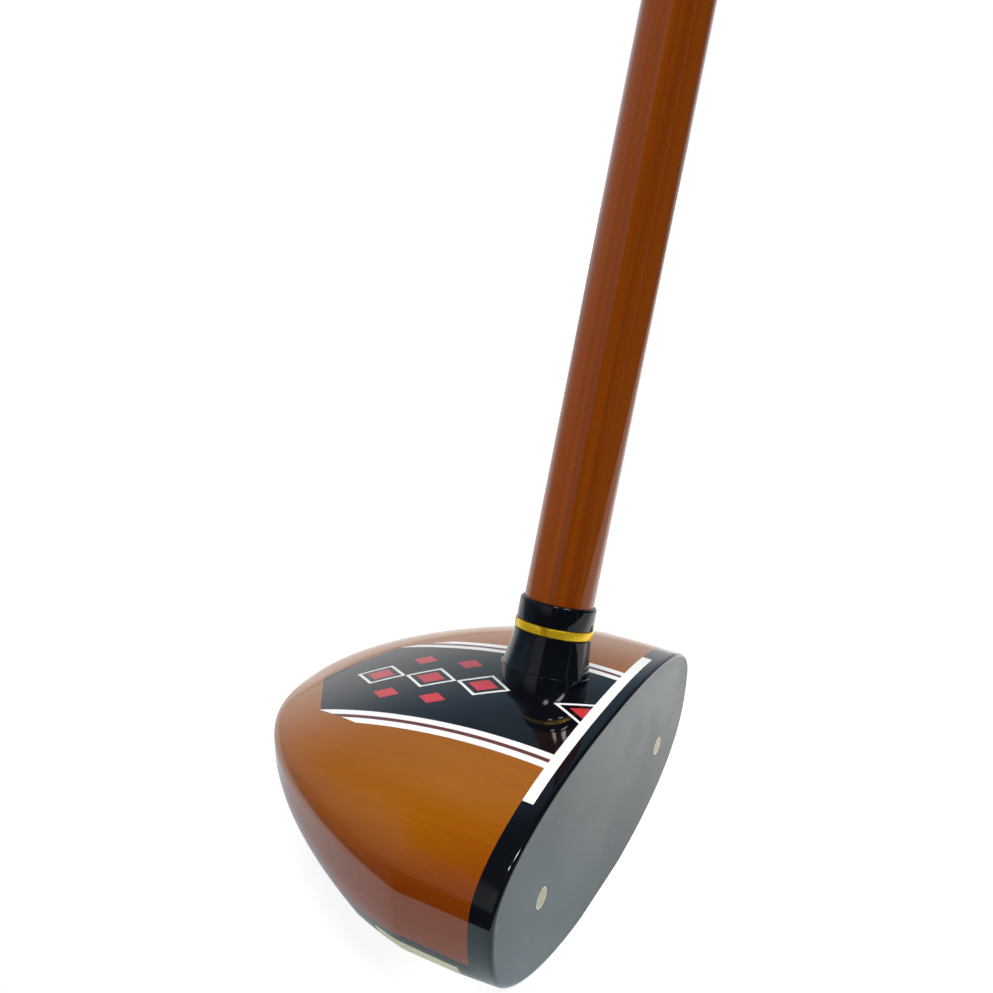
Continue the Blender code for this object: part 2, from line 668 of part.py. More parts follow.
def build_grip(materials):
    """Underlay, rubber sleeve with grooves near its mouth, mouth ring and butt cap."""
    butt = TUBE_TOP
    ring_bottom = butt - GRIP_LENGTH
    mouth = ring_bottom + GRIP_RING_HEIGHT + GAP
    liner_inner = sleeve_bore(butt)
    liner_outer = liner_inner + GRIP_UNDERLAY_THICKNESS
    underlay = turned("grip_underlay", [(liner_inner, mouth), (liner_outer, mouth),
                                        (liner_outer, butt), (liner_inner, butt)], ROUND_STEPS)
    add_object("grip_underlay", underlay, materials["tape"], SHAFT_FRAME)

    bore = liner_outer + GAP
    profile = [(bore, mouth)]
    profile += rounded(grip_outer(mouth, mouth, butt), mouth, GRIP_EDGE_RADIUS, -1)
    for groove in range(1, GRIP_GROOVE_COUNT + 1):
        middle = mouth + groove * GRIP_GROOVE_PITCH
        radius = grip_outer(middle, mouth, butt)
        profile += [(radius, middle - 0.5 * GRIP_GROOVE_WIDTH),
                    (radius - GRIP_GROOVE_DEPTH, middle - 0.5 * GRIP_GROOVE_FLOOR),
                    (radius - GRIP_GROOVE_DEPTH, middle + 0.5 * GRIP_GROOVE_FLOOR),
                    (radius, middle + 0.5 * GRIP_GROOVE_WIDTH)]
    profile += rounded(grip_outer(butt, mouth, butt), butt, GRIP_EDGE_RADIUS, 1)
    profile.append((bore, butt))
    grip = turned("grip", profile, ROUND_STEPS)
    add_object("grip", grip, materials["rubber"], SHAFT_FRAME)

    ring_top = ring_bottom + GRIP_RING_HEIGHT
    ring_bore = sleeve_bore(ring_top)
    ring_outer = ring_bore + GRIP_RING_WALL
    profile = [(ring_bore, ring_bottom)]
    profile += rounded(ring_outer, ring_bottom, min(GRIP_RING_EDGE_RADIUS, GRIP_RING_WALL), -1)
    profile += [(ring_outer, ring_top), (ring_bore, ring_top)]
    ring = turned("grip_ring", profile, ROUND_STEPS)
    add_object("grip_ring", ring, materials["ferrule"], SHAFT_FRAME)

    cap_bottom = TUBE_TOP + GAP
    spigot = shaft_radius(TUBE_TOP - CAP_SPIGOT_LENGTH) - SHAFT_WALL - GAP
    spigot_bottom = TUBE_TOP - CAP_SPIGOT_LENGTH
    outer = 0.5 * GRIP_BUTT_DIAMETER
    profile = [(0.0, spigot_bottom), (spigot - PLUG_CHAMFER, spigot_bottom),
               (spigot, spigot_bottom + PLUG_CHAMFER), (spigot, cap_bottom), (outer, cap_bottom)]
    profile += rounded(outer, BUTT_HEIGHT, CAP_EDGE_RADIUS, 1)
    profile.append((0.0, BUTT_HEIGHT))
    cap = turned("grip_cap", profile, ROUND_STEPS)
    add_object("grip_cap", cap, materials["rubber"], SHAFT_FRAME)


def main():
    """Build the club."""
    clear_scene()
    materials = {
        "wood": make_material("brown lacquered wood", LACQUER_BROWN, 0.12),
        "face": make_material("grey face plate", FACE_GREY, 0.45),
        "pin": make_material("pale pin", PALE_PIN, 0.35),
        "brass": make_material("brass", BRASS, 0.3, 1.0),
        "weight": make_material("weight metal", BRASS, 0.5, 1.0),
        "steel": make_material("screw steel", STEEL, 0.3, 1.0),
        "shaft": make_material("brown lacquered tube", SHAFT_BROWN, 0.15),
        "plug": make_material("plug wood", PLUG_WOOD, 0.7),
        "ferrule": make_material("gloss black plastic", GLOSS_BLACK, 0.1),
        "gold": make_material("gold ring", GOLD, 0.2, 1.0),
        "tape": make_material("grip tape", TAPE_GREY, 0.8),
        "rubber": make_material("black rubber", RUBBER_BLACK, 0.7),
    }
    build_head(materials)
    build_face(materials)
    build_sole(materials)
    build_shaft(materials)
    build_ferrule(materials)
    build_grip(materials)


main()
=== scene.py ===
"""Looks of a park golf club for a right-handed player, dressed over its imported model.

Sizes are in metres unless a docstring says otherwise, and +Z is up. The striking face looks along
-Y, the toe is on the -X side and the heel on the +X side. The origin is the middle of the sole
plate's flat, and depth is measured from the striking face towards the back of the head.
"""

from __future__ import annotations

import logging
import math
from collections.abc import Sequence
from dataclasses import dataclass
from enum import Enum
from typing import Any

import bmesh
import bpy
from mathutils import Matrix, Vector


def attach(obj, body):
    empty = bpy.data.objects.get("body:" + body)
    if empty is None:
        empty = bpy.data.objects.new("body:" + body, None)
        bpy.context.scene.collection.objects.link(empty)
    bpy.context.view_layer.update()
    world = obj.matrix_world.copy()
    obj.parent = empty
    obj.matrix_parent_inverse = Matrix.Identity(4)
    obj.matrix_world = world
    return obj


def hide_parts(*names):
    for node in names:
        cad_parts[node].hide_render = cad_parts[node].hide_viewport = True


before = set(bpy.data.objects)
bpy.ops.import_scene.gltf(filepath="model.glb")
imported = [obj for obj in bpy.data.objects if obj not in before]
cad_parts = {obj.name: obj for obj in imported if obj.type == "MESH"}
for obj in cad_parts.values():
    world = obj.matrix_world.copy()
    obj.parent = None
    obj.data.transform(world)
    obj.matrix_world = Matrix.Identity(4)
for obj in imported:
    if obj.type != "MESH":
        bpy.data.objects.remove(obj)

LOG = logging.getLogger("park golf club")
BODY = "root"
ORIGIN_DEPTH = 0.022
MILLIMETRES = 1000.0
SHARP_ANGLE = math.radians(30)
FINE_EDGE = 0.0003
FINE_STEPS = 4
NONE = (0.0, 0.0, 0.0)
UP = (0.0, 0.0, 1.0)
WHITE = (1.0, 1.0, 1.0)

Triple = tuple[float, float, float]
Colour = Triple
Noise = Triple
Point = tuple[float, float]
Ramp = tuple[float, ...]
Material = bpy.types.Material
Mesh = bpy.types.Mesh
Tree = bpy.types.NodeTree
Socket = bpy.types.NodeSocket
Feed = Any


def shaded(colour: Colour, factor: float) -> Colour:
    """Colour made darker or lighter by a factor."""
    return tuple(factor * value for value in colour)


class NodeSheet:
    """Writes nodes into one tree and wires them together."""

    def __init__(self, tree: Tree) -> None:
        """Keep the tree that the nodes go to."""
        self.tree = tree

    def put(
        self, kind: str, feeds: dict[Any, Feed] | None = None, **settings: Any
    ) -> bpy.types.Node:
        """Add a node.

        Args:
            kind: Blender's name of the node type.
            feeds: What goes into its sockets, by socket name or number.
            settings: Values of the node's own properties.

        Returns:
            The new node.
        """
        node = self.tree.nodes.new(kind)
        for name, value in settings.items():
            setattr(node, name, value)
        for key, value in (feeds or {}).items():
            self.feed(node.inputs[key], value)
        return node

    def out(self, kind: str, feeds: dict[Any, Feed] | None = None, **settings: Any) -> Socket:
        """Add a node in the way that put does, and return its first output."""
        return self.put(kind, feeds, **settings).outputs[0]

    def feed(self, socket: Socket, value: Feed) -> None:
        """Link a socket to another one, or give it a fixed value.

        Args:
            socket: The socket that takes the value.
            value: Another node's output, or a number, a vector or a colour.
        """
        if isinstance(value, bpy.types.NodeSocket):
            self.tree.links.new(value, socket)
        elif socket.type == "RGBA" and len(value) == 3:
            socket.default_value = (*value, 1.0)
        else:
            socket.default_value = value

    def math(self, operation: str, *values: Feed) -> Socket:
        """Value of a Math node."""
        return self.out("ShaderNodeMath", dict(enumerate(values)), operation=operation)

    def vector(self, operation: str, *values: Feed) -> Socket:
        """Vector of a Vector Math node."""
        return self.out("ShaderNodeVectorMath", dict(enumerate(values)), operation=operation)

    def chain(self, operation: str, values: Sequence[Feed]) -> Socket:
        """Run a Math operation along a row of values.

        Args:
            operation: Blender's name of the operation.
            values: Numbers or sockets, each of which meets the result so far.

        Returns:
            The last result.
        """
        total = values[0]
        for value in values[1:]:
            total = self.math(operation, total, value)
        return total

    def product(self, *values: Feed) -> Socket:
        """Product of several values, which for masks is where all of them hold."""
        return self.chain("MULTIPLY", values)

    def either(self, *masks: Feed) -> Socket:
        """Mask that holds where any of several masks holds."""
        return self.chain("MAXIMUM", masks)

    def below(self, value: Feed, limit: Feed) -> Socket:
        """Mask of where a value is below a limit."""
        return self.math("LESS_THAN", value, limit)

    def above(self, value: Feed, limit: Feed) -> Socket:
        """Mask of where a value is above a limit."""
        return self.math("GREATER_THAN", value, limit)

    def between(self, value: Feed, low: float, high: float) -> Socket:
        """Mask of where a value lies between two limits."""
        return self.product(self.above(value, low), self.below(value, high))

    def apart(self, value: Feed, middle: Feed) -> Socket:
        """Distance of a value from a middle."""
        return self.math("ABSOLUTE", self.math("SUBTRACT", value, middle))

    def ramp(
        self, value: Feed, low: Feed, high: Feed, start: Feed = 0.0, end: Feed = 1.0
    ) -> Socket:
        """Value mapped smoothly from one range to another and held at its ends."""
        feeds = {0: value, 1: low, 2: high, 3: start, 4: end}
        return self.out("ShaderNodeMapRange", feeds, interpolation_type="SMOOTHSTEP")

    def mix(self, share: Feed, first: Feed, second: Feed) -> Socket:
        """Colour mixed from two by a share of the second."""
        feeds = {0: share, 6: first, 7: second}
        return self.put("ShaderNodeMix", feeds, data_type="RGBA").outputs[2]

    def blend(self, share: Feed, first: Feed, second: Feed) -> Socket:
        """Number mixed from two by a share of the second."""
        return self.out("ShaderNodeMix", {0: share, 2: first, 3: second})

    def noise(self, place: Feed, scale: Feed, detail: float, rough: float) -> Socket:
        """Value of a noise field."""
        feeds = {"Vector": place, "Scale": scale, "Detail": detail, "Roughness": rough}
        return self.out("ShaderNodeTexNoise", feeds)

    def stretched(self, place: Feed, scale: Feed, turn: Feed = NONE, shift: Feed = NONE) -> Socket:
        """Place turned, shifted and then stretched, for patterns that run one way."""
        feeds = {"Vector": place, "Location": shift, "Rotation": turn}
        return self.vector("MULTIPLY", self.out("ShaderNodeMapping", feeds), scale)

    def place(self) -> Socket:
        """Object coordinates, which here are metres in the club's own frame."""
        return self.put("ShaderNodeTexCoord").outputs["Object"]

    def parts(self, vector: Feed) -> list[Socket]:
        """X, Y and Z of a vector."""
        return list(self.put("ShaderNodeSeparateXYZ", {0: vector}).outputs)

    def head_place(self, place: Feed) -> tuple[Socket, Socket, Socket]:
        """X, the depth behind the striking face and Z of a place, all in millimetres."""
        x, y, z = self.parts(self.vector("MULTIPLY", place, (MILLIMETRES,) * 3))
        return x, self.math("ADD", y, MILLIMETRES * ORIGIN_DEPTH), z


def open_group(
    name: str, inputs: dict[str, float | None], outputs: Sequence[str] = ("Mask",)
) -> tuple[NodeSheet, Any, Any]:
    """Start a shader node group.

    Args:
        name: The group's name.
        inputs: Its inputs, each with its usual value; one without a value is a vector.
        outputs: Names of the values that it puts out.

    Returns:
        The sheet, the sockets that come in by name, and the node that takes what goes out.
    """
    tree = bpy.data.node_groups.new(name, "ShaderNodeTree")
    for title, value in inputs.items():
        kind = "NodeSocketVector" if value is None else "NodeSocketFloat"
        socket = tree.interface.new_socket(title, in_out="INPUT", socket_type=kind)
        if value is not None:
            socket.default_value = value
    for title in outputs:
        tree.interface.new_socket(title, in_out="OUTPUT", socket_type="NodeSocketFloat")
    sheet = NodeSheet(tree)
    coming = sheet.put("NodeGroupInput").outputs
    return sheet, coming, sheet.put("NodeGroupOutput")


@dataclass(frozen=True)
class SharedPatterns:
    """Node groups that more than one finish uses.

    The values in capitals belong to the groups' own noise, given as detail and roughness, and to
    the ranges that turn it into a mask.
    """

    SCUFF_TURNS = ((0.3, 0.2, 0.5), (-0.2, 0.4, -0.9))
    SCUFF_STRETCH = (1.0, 14.0, 14.0)
    SCUFF_NOISE = (1.0, 0.3)
    SCUFF_FALL = -0.14
    SCUFF_LIMIT = 0.76
    SCUFF_SOFTNESS = 0.04
    CLOUD_NOISE = (4.0, 0.55)
    CLOUD_RANGE = (0.32, 0.68)
    FLAKE_EDGE = (0.45, 0.2)
    BRUSH_STRETCH = (0.03, 1.0, 1.0)
    BRUSH_NOISE = (3.0, 0.6)
    BRUSH_RANGE = (0.3, 0.7)

    scuffs: Tree
    clouds: Tree
    flakes: Tree
    brushing: Tree

    @classmethod
    def build(cls) -> SharedPatterns:
        """Build each group once."""
        return cls(cls._scuffs(), cls._clouds(), cls._flakes(), cls._brushing())

    @classmethod
    def _scuffs(cls) -> Tree:
        """Build the fine straight scratches that cross at two angles.

        Returns:
            The group, with a place, a scale and an amount.
        """
        inputs = {"Place": None, "Scale": 60.0, "Amount": 0.5}
        sheet, coming, going = open_group("fine scuffs", inputs)
        lines = []
        for turn in cls.SCUFF_TURNS:
            place = sheet.stretched(coming["Place"], cls.SCUFF_STRETCH, turn)
            lines.append(sheet.noise(place, coming["Scale"], *cls.SCUFF_NOISE))
        limit = sheet.math("MULTIPLY_ADD", coming["Amount"], cls.SCUFF_FALL, cls.SCUFF_LIMIT)
        top = sheet.math("ADD", limit, cls.SCUFF_SOFTNESS)
        sheet.feed(going.inputs[0], sheet.ramp(sheet.either(*lines), limit, top))
        return sheet.tree

    @classmethod
    def _clouds(cls) -> Tree:
        """Build the soft patches, for handling marks and uneven colour.

        Returns:
            The group, with a place and a scale.
        """
        sheet, coming, going = open_group("soft clouds", {"Place": None, "Scale": 20.0})
        value = sheet.noise(coming["Place"], coming["Scale"], *cls.CLOUD_NOISE)
        sheet.feed(going.inputs[0], sheet.ramp(value, *cls.CLOUD_RANGE))
        return sheet.tree

    @classmethod
    def _flakes(cls) -> Tree:
        """Build the tiny bright flakes of a pearl lacquer.

        Returns:
            The group, with a place, a scale and the share of cells that hold a flake.
        """
        inputs = {"Place": None, "Scale": 3000.0, "Share": 0.2}
        sheet, coming, going = open_group("pearl flakes", inputs)
        feeds = {"Vector": coming["Place"], "Scale": coming["Scale"]}
        cells = sheet.put("ShaderNodeTexVoronoi", feeds).outputs
        limit = sheet.math("SUBTRACT", 1.0, coming["Share"])
        chosen = sheet.above(sheet.parts(cells["Color"])[0], limit)
        mask = sheet.product(chosen, sheet.ramp(cells["Distance"], *cls.FLAKE_EDGE))
        sheet.feed(going.inputs[0], mask)
        return sheet.tree

    @classmethod
    def _brushing(cls) -> Tree:
        """Build the fine parallel lines along X of the place that it is given.

        Returns:
            The group, with a place and a scale.
        """
        sheet, coming, going = open_group("brushing", {"Place": None, "Scale": 300.0})
        place = sheet.stretched(coming["Place"], cls.BRUSH_STRETCH)
        value = sheet.noise(place, coming["Scale"], *cls.BRUSH_NOISE)
        sheet.feed(going.inputs[0], sheet.ramp(value, *cls.BRUSH_RANGE))
        return sheet.tree


@dataclass(frozen=True)
class Dressing:
    """A material in the making."""

    sheet: NodeSheet
    shader: bpy.types.Node
    place: Socket
    shared: SharedPatterns

    def pattern(self, group: Tree, **feeds: Feed) -> Socket:
        """Lay a shared group over the material's place.

        Args:
            group: The shared group.
            feeds: What goes into its other inputs, by name in lower case.

        Returns:
            The group's mask.
        """
        node = self.sheet.put("ShaderNodeGroup", {"Place": self.place}, node_tree=group)
        for name, value in feeds.items():
            self.sheet.feed(node.inputs[name.capitalize()], value)
        return node.outputs[0]

    def colour(self, value: Socket) -> None:
        """Feed the shader's colour."""
        self.sheet.feed(self.shader.inputs["Base Color"], value)

    def rough(self, value: Socket) -> None:
        """Feed the shader's roughness."""
        self.sheet.feed(self.shader.inputs["Roughness"], value)

    def bump(self, height: Socket, depth: float) -> None:
        """Let a height in 0 to 1 raise the surface by a depth in metres."""
        feeds = {"Height": height, "Strength": 1.0, "Distance": depth}
        self.sheet.feed(self.shader.inputs["Normal"], self.sheet.out("ShaderNodeBump", feeds))


@dataclass(frozen=True)
class Finish:
    """A finish's name and the gloss values that are the same all over it.

    In the finishes, a noise is a scale, a detail and a roughness, and a gloss is the range that
    the roughness moves in.
    """

    name: str
    roughness: float = 0.5
    metallic: float = 0.0
    coat: float = 0.0
    coat_roughness: float = 0.03
    specular: float = 0.5

    def make(self, shared: SharedPatterns) -> Material:
        """Build the material, with its fixed values on the shader's own sockets.

        Args:
            shared: The shared node groups.

        Returns:
            The finished material.
        """
        material = bpy.data.materials.new(self.name)
        material.use_nodes = True
        shader = material.node_tree.nodes["Principled BSDF"]
        shader.inputs["Roughness"].default_value = self.roughness
        shader.inputs["Metallic"].default_value = self.metallic
        shader.inputs["Coat Weight"].default_value = self.coat
        shader.inputs["Coat Roughness"].default_value = self.coat_roughness
        shader.inputs["Specular IOR Level"].default_value = self.specular
        sheet = NodeSheet(material.node_tree)
        self.paint(Dressing(sheet, shader, sheet.place(), shared))
        return material

    def paint(self, work: Dressing) -> None:
        """Feed what changes over the surface; each finish does it its own way."""
        raise NotImplementedError


@dataclass(frozen=True)
class CrownPattern:
    """Traditional lozenge and stripe pattern of the crown, in millimetres.

    Across is measured from the pattern's middle line and depth from the striking face.
    """

    middle: float = -3.9
    lowest: float = 42.0
    panel: float = 20.2
    inner_stripe: float = 22.2
    fine_line: float = 23.5
    outer_stripe: float = 25.6
    shoulder: Point = (26.5, 60.0)
    corner: Point = (20.4, 79.0)
    tip: float = 93.7
    lozenge: Point = (6.0, 8.6)
    first_tip: float = 29.3
    last_tip: float = 80.9
    outline: float = 0.8
    fill_edge: float = 2.2
    small_lozenge: Point = (2.9, 4.3)
    small_across: float = 10.5
    small_depths: Point = (48.1, 63.4)
    front_lozenge: Point = (5.1, 9.7)
    front_shift: float = -0.4
    front_depth: float = 6.4

    def masks(self, sheet: NodeSheet, x: Socket, depth: Socket, z: Socket) -> dict[str, Socket]:
        """Work out where each paint of the pattern lies.

        Args:
            sheet: The material's sheet.
            x: Place from toe to heel in millimetres.
            depth: Depth from the face in millimetres.
            z: Height in millimetres.

        Returns:
            Masks of the black panel, the fine line, the white and the red, in that order.
        """
        side = sheet.math("SUBTRACT", x, self.middle)
        across = sheet.math("ABSOLUTE", side)
        crown = sheet.above(z, self.lowest)
        inside = self._inside(sheet, across, depth)
        area = sheet.product(crown, inside, sheet.below(across, self.outer_stripe))
        inner = sheet.between(across, self.panel, self.inner_stripe)
        stripes = sheet.either(inner, sheet.above(across, self.fine_line))
        line = sheet.between(across, self.inner_stripe, self.fine_line)
        panel = sheet.below(across, self.panel)

        row_line, row_fill = self._row(sheet, across, depth)
        front_line, front_fill = self._front(sheet, side, depth)
        small = self._small(sheet, across, depth)
        return {
            "black": sheet.product(area, panel),
            "line": sheet.product(area, line),
            "white": sheet.product(area, sheet.either(stripes, row_line, front_line)),
            "red": sheet.product(area, sheet.either(row_fill, front_fill, small)),
        }

    def _inside(self, sheet: NodeSheet, across: Socket, depth: Socket) -> Socket:
        """Find the area in front of the pattern's pointed back end.

        Args:
            sheet: The material's sheet.
            across: Distance from the middle line.
            depth: Depth from the face.

        Returns:
            Mask of the area.
        """
        sides = []
        for start, end in ((self.shoulder, self.corner), (self.corner, (0.0, self.tip))):
            along = end[1] - start[1]
            inward = start[0] - end[0]
            reach = start[0] * along + start[1] * inward
            sideways = sheet.product(across, along)
            distance = sheet.math("MULTIPLY_ADD", depth, inward, sideways)
            sides.append(sheet.below(distance, reach))
        return sheet.product(*sides)

    def _lozenge(self, sheet: NodeSheet, across: Socket, along: Socket, half: Point) -> Socket:
        """Measure how far inside a lozenge a place lies.

        Args:
            sheet: The material's sheet.
            across: Offset from the lozenge's middle across the pattern.
            along: Offset from its middle along the pattern.
            half: Half of its width and half of its length.

        Returns:
            Distance from the edge, above 0 inside.
        """
        shares = [sheet.math("DIVIDE", way, size) for way, size in zip((across, along), half)]
        height = half[0] * half[1] / math.hypot(*half)
        return sheet.product(sheet.math("SUBTRACT", 1.0, sheet.chain("ADD", shares)), height)

    def _row(self, sheet: NodeSheet, across: Socket, depth: Socket) -> tuple[Socket, Socket]:
        """Lay the row of large lozenges.

        Args:
            sheet: The material's sheet.
            across: Distance from the middle line.
            depth: Depth from the face.

        Returns:
            Masks of their outline and of their fill.
        """
        run = sheet.math("SUBTRACT", depth, self.first_tip)
        along = sheet.math("PINGPONG", sheet.math("ADD", run, self.lozenge[1]), self.lozenge[1])
        within = self._lozenge(sheet, across, along, self.lozenge)
        row = sheet.between(depth, self.first_tip, self.last_tip)
        outline = sheet.product(row, sheet.between(within, 0.0, self.outline))
        return outline, sheet.product(row, sheet.above(within, self.fill_edge))

    def _front(self, sheet: NodeSheet, side: Socket, depth: Socket) -> tuple[Socket, Socket]:
        """Lay the half lozenge next to the face.

        Args:
            sheet: The material's sheet.
            side: Place across the pattern, above 0 towards the heel.
            depth: Depth from the face.

        Returns:
            Masks of its outline and of its fill.
        """
        across = sheet.apart(side, self.front_shift)
        along = sheet.math("SUBTRACT", depth, self.front_depth)
        within = self._lozenge(sheet, across, along, self.front_lozenge)
        return sheet.between(within, 0.0, self.outline), sheet.above(within, self.fill_edge)

    def _small(self, sheet: NodeSheet, across: Socket, depth: Socket) -> Socket:
        """Lay the small lozenges beside the row.

        Args:
            sheet: The material's sheet.
            across: Distance from the middle line.
            depth: Depth from the face.

        Returns:
            Mask of the lozenges.
        """
        off_row = sheet.apart(across, self.small_across)
        nearest = sheet.math("MINIMUM", *(sheet.apart(depth, mid) for mid in self.small_depths))
        return sheet.above(self._lozenge(sheet, off_row, nearest, self.small_lozenge), 0.0)


@dataclass(frozen=True)
class LacqueredHead(Finish):
    """Brown pearl lacquer over the wood, with the painted crown and the black sole.

    The brown runs from golden high on the head to a darker russet low on it and towards the back:
    partly the lacquer's own tone, partly painted shade of the lower flanks. Heights and depths are
    in millimetres.
    """

    pattern: CrownPattern = CrownPattern()
    # golden is the brown high on the head; the darker russet low on it is partly lacquer tone,
    # partly painted shade
    golden: Colour = (0.306, 0.095, 0.0010)
    russet_and_painted_shade: Colour = (0.212, 0.037, 0.0006)
    golden_height: float = 55.0
    russet_height: float = 39.0
    golden_depth: float = 30.0
    golden_slope: float = 0.18
    figure: Noise = (70.0, 4.0, 0.55)
    figure_stretch: Triple = (1.0, 0.25, 0.6)
    figure_turn: Triple = (0.1, 0.2, 0.1)
    figure_share: float = 0.6
    fine: Noise = (700.0, 2.0, 0.5)
    fine_stretch: Triple = (1.0, 0.05, 0.3)
    fine_turn: Triple = (0.0, 0.1, 0.05)
    fine_share: float = 0.4
    tone_range: Point = (0.35, 0.62)
    shade: Triple = (0.93, 0.8649, 0.93)
    flake_scale: float = 2600.0
    flake_share: float = 0.25
    flake_strength: float = 0.10
    flake_colour: Colour = (0.62, 0.28, 0.02)
    black: Colour = (0.0028, 0.0033, 0.0050)
    white: Colour = (0.85, 0.85, 0.84)
    line: Colour = (0.13, 0.035, 0.030)
    red: Colour = (0.52, 0.030, 0.042)
    sole_height: float = 25.2
    sole_fall: float = 0.16
    sole_fall_depth: float = 24.0
    cloud_scale: float = 35.0
    gloss: Point = (0.30, 0.38)

    def paint(self, work: Dressing) -> None:
        """Paint the brown, darker low on the head as partly painted shade, the black of the sole
        and the crown's pattern.

        Args:
            work: The material in the making.
        """
        sheet = work.sheet
        x, depth, z = sheet.head_place(work.place)
        # golden high on the head, darker russet lower down and further back: partly lacquer tone,
        # partly painted shade of the flanks
        run = sheet.math("SUBTRACT", depth, self.golden_depth)
        level = sheet.math("MULTIPLY_ADD", run, self.golden_slope, z)
        rise = sheet.ramp(level, self.russet_height, self.golden_height)
        colour = sheet.mix(rise, self.russet_and_painted_shade, self.golden)
        colour = self._figured(work, colour)

        fall = sheet.math("MAXIMUM", sheet.math("SUBTRACT", depth, self.sole_fall_depth), 0.0)
        edge = sheet.math("MULTIPLY_ADD", fall, -self.sole_fall, self.sole_height)
        colour = sheet.mix(sheet.below(z, edge), colour, self.black)
        paints = {"black": self.black, "line": self.line, "white": self.white, "red": self.red}
        for name, mask in self.pattern.masks(sheet, x, depth, z).items():
            colour = sheet.mix(mask, colour, paints[name])
        work.colour(colour)

        clouds = work.pattern(work.shared.clouds, scale=self.cloud_scale)
        work.rough(sheet.ramp(clouds, 0.0, 1.0, *self.gloss))

    def _figured(self, work: Dressing, colour: Socket) -> Socket:
        """Work the wood's figure and the lacquer's flakes into the brown.

        Args:
            work: The material in the making.
            colour: The plain brown.

        Returns:
            The brown with its darker figure and its flakes.
        """
        sheet = work.sheet
        figure_place = sheet.stretched(work.place, self.figure_stretch, self.figure_turn)
        fine_place = sheet.stretched(work.place, self.fine_stretch, self.fine_turn)
        broad = sheet.product(sheet.noise(figure_place, *self.figure), self.figure_share)
        fine = sheet.noise(fine_place, *self.fine)
        tone = sheet.math("MULTIPLY_ADD", fine, self.fine_share, broad)
        deep = sheet.vector("MULTIPLY", colour, self.shade)
        colour = sheet.mix(sheet.ramp(tone, *self.tone_range), deep, colour)
        feeds = {"scale": self.flake_scale, "share": self.flake_share}
        flakes = work.pattern(work.shared.flakes, **feeds)
        return sheet.mix(sheet.product(flakes, self.flake_strength), colour, self.flake_colour)


@dataclass(frozen=True)
class StrikingFaceFinish(Finish):
    """Satin grey of the face, lightly worn."""

    grey: Colour = (0.116, 0.138, 0.145)
    worn: Colour = (0.38, 0.40, 0.40)
    shade: float = 0.90
    fibres: Noise = (2200.0, 3.0, 0.6)
    fibre_share: float = 0.5
    fibre_depth: float = 0.00002
    tone_range: Point = (0.2, 0.8)
    cloud_scale: float = 26.0
    scuff_scale: float = 38.0
    scuff_amount: float = 0.3
    scuff_strength: float = 0.10
    gloss: Point = (0.36, 0.46)

    def paint(self, work: Dressing) -> None:
        """Paint the grey with its fibres, clouds and scuffs.

        Args:
            work: The material in the making.
        """
        sheet, shared = work.sheet, work.shared
        fibres = sheet.noise(work.place, *self.fibres)
        clouds = work.pattern(shared.clouds, scale=self.cloud_scale)
        scuffs = work.pattern(shared.scuffs, scale=self.scuff_scale, amount=self.scuff_amount)
        soft = sheet.product(clouds, 1.0 - self.fibre_share)
        tone = sheet.math("MULTIPLY_ADD", fibres, self.fibre_share, soft)
        grey = sheet.mix(
            sheet.ramp(tone, *self.tone_range), shaded(self.grey, self.shade), self.grey
        )
        work.colour(sheet.mix(sheet.product(scuffs, self.scuff_strength), grey, self.worn))
        work.rough(sheet.ramp(clouds, 0.0, 1.0, *self.gloss))
        work.bump(fibres, self.fibre_depth)


@dataclass(frozen=True)
class PlateRimFinish(Finish):
    """Gloss black rim of the face plate, with the white cross stripe on its top.

    The stripe's reach, depth and lowest height are in millimetres.
    """

    black: Colour = (0.0028, 0.0033, 0.0050)
    clouded: float = 1.2
    white: Colour = (0.87, 0.87, 0.86)
    stripe_reach: Point = (-41.0, 36.4)
    stripe_depth: float = 3.3
    stripe_lowest: float = 45.0
    cloud_scale: float = 26.0
    gloss: Point = (0.28, 0.32)

    def paint(self, work: Dressing) -> None:
        """Paint the black and the stripe.

        Args:
            work: The material in the making.
        """
        sheet = work.sheet
        x, depth, z = sheet.head_place(work.place)
        stripe = sheet.product(
            sheet.between(x, *self.stripe_reach),
            sheet.above(depth, self.stripe_depth),
            sheet.above(z, self.stripe_lowest),
        )
        clouds = work.pattern(work.shared.clouds, scale=self.cloud_scale)
        black = sheet.mix(clouds, self.black, shaded(self.black, self.clouded))
        work.colour(sheet.mix(stripe, black, self.white))
        work.rough(sheet.ramp(clouds, 0.0, 1.0, *self.gloss))


class Metal(Enum):
    """Metals of the club, each with its colour, its brushing scale and its scuffing."""

    BRASS = ((0.92, 0.84, 0.58), 260.0, 0.7)
    TURNED_BRASS = ((0.72, 0.53, 0.22), 900.0, 0.3)
    GOLD = ((1.00, 0.63, 0.02), 6000.0, 0.0)
    STEEL = ((0.62, 0.61, 0.59), 700.0, 0.4)


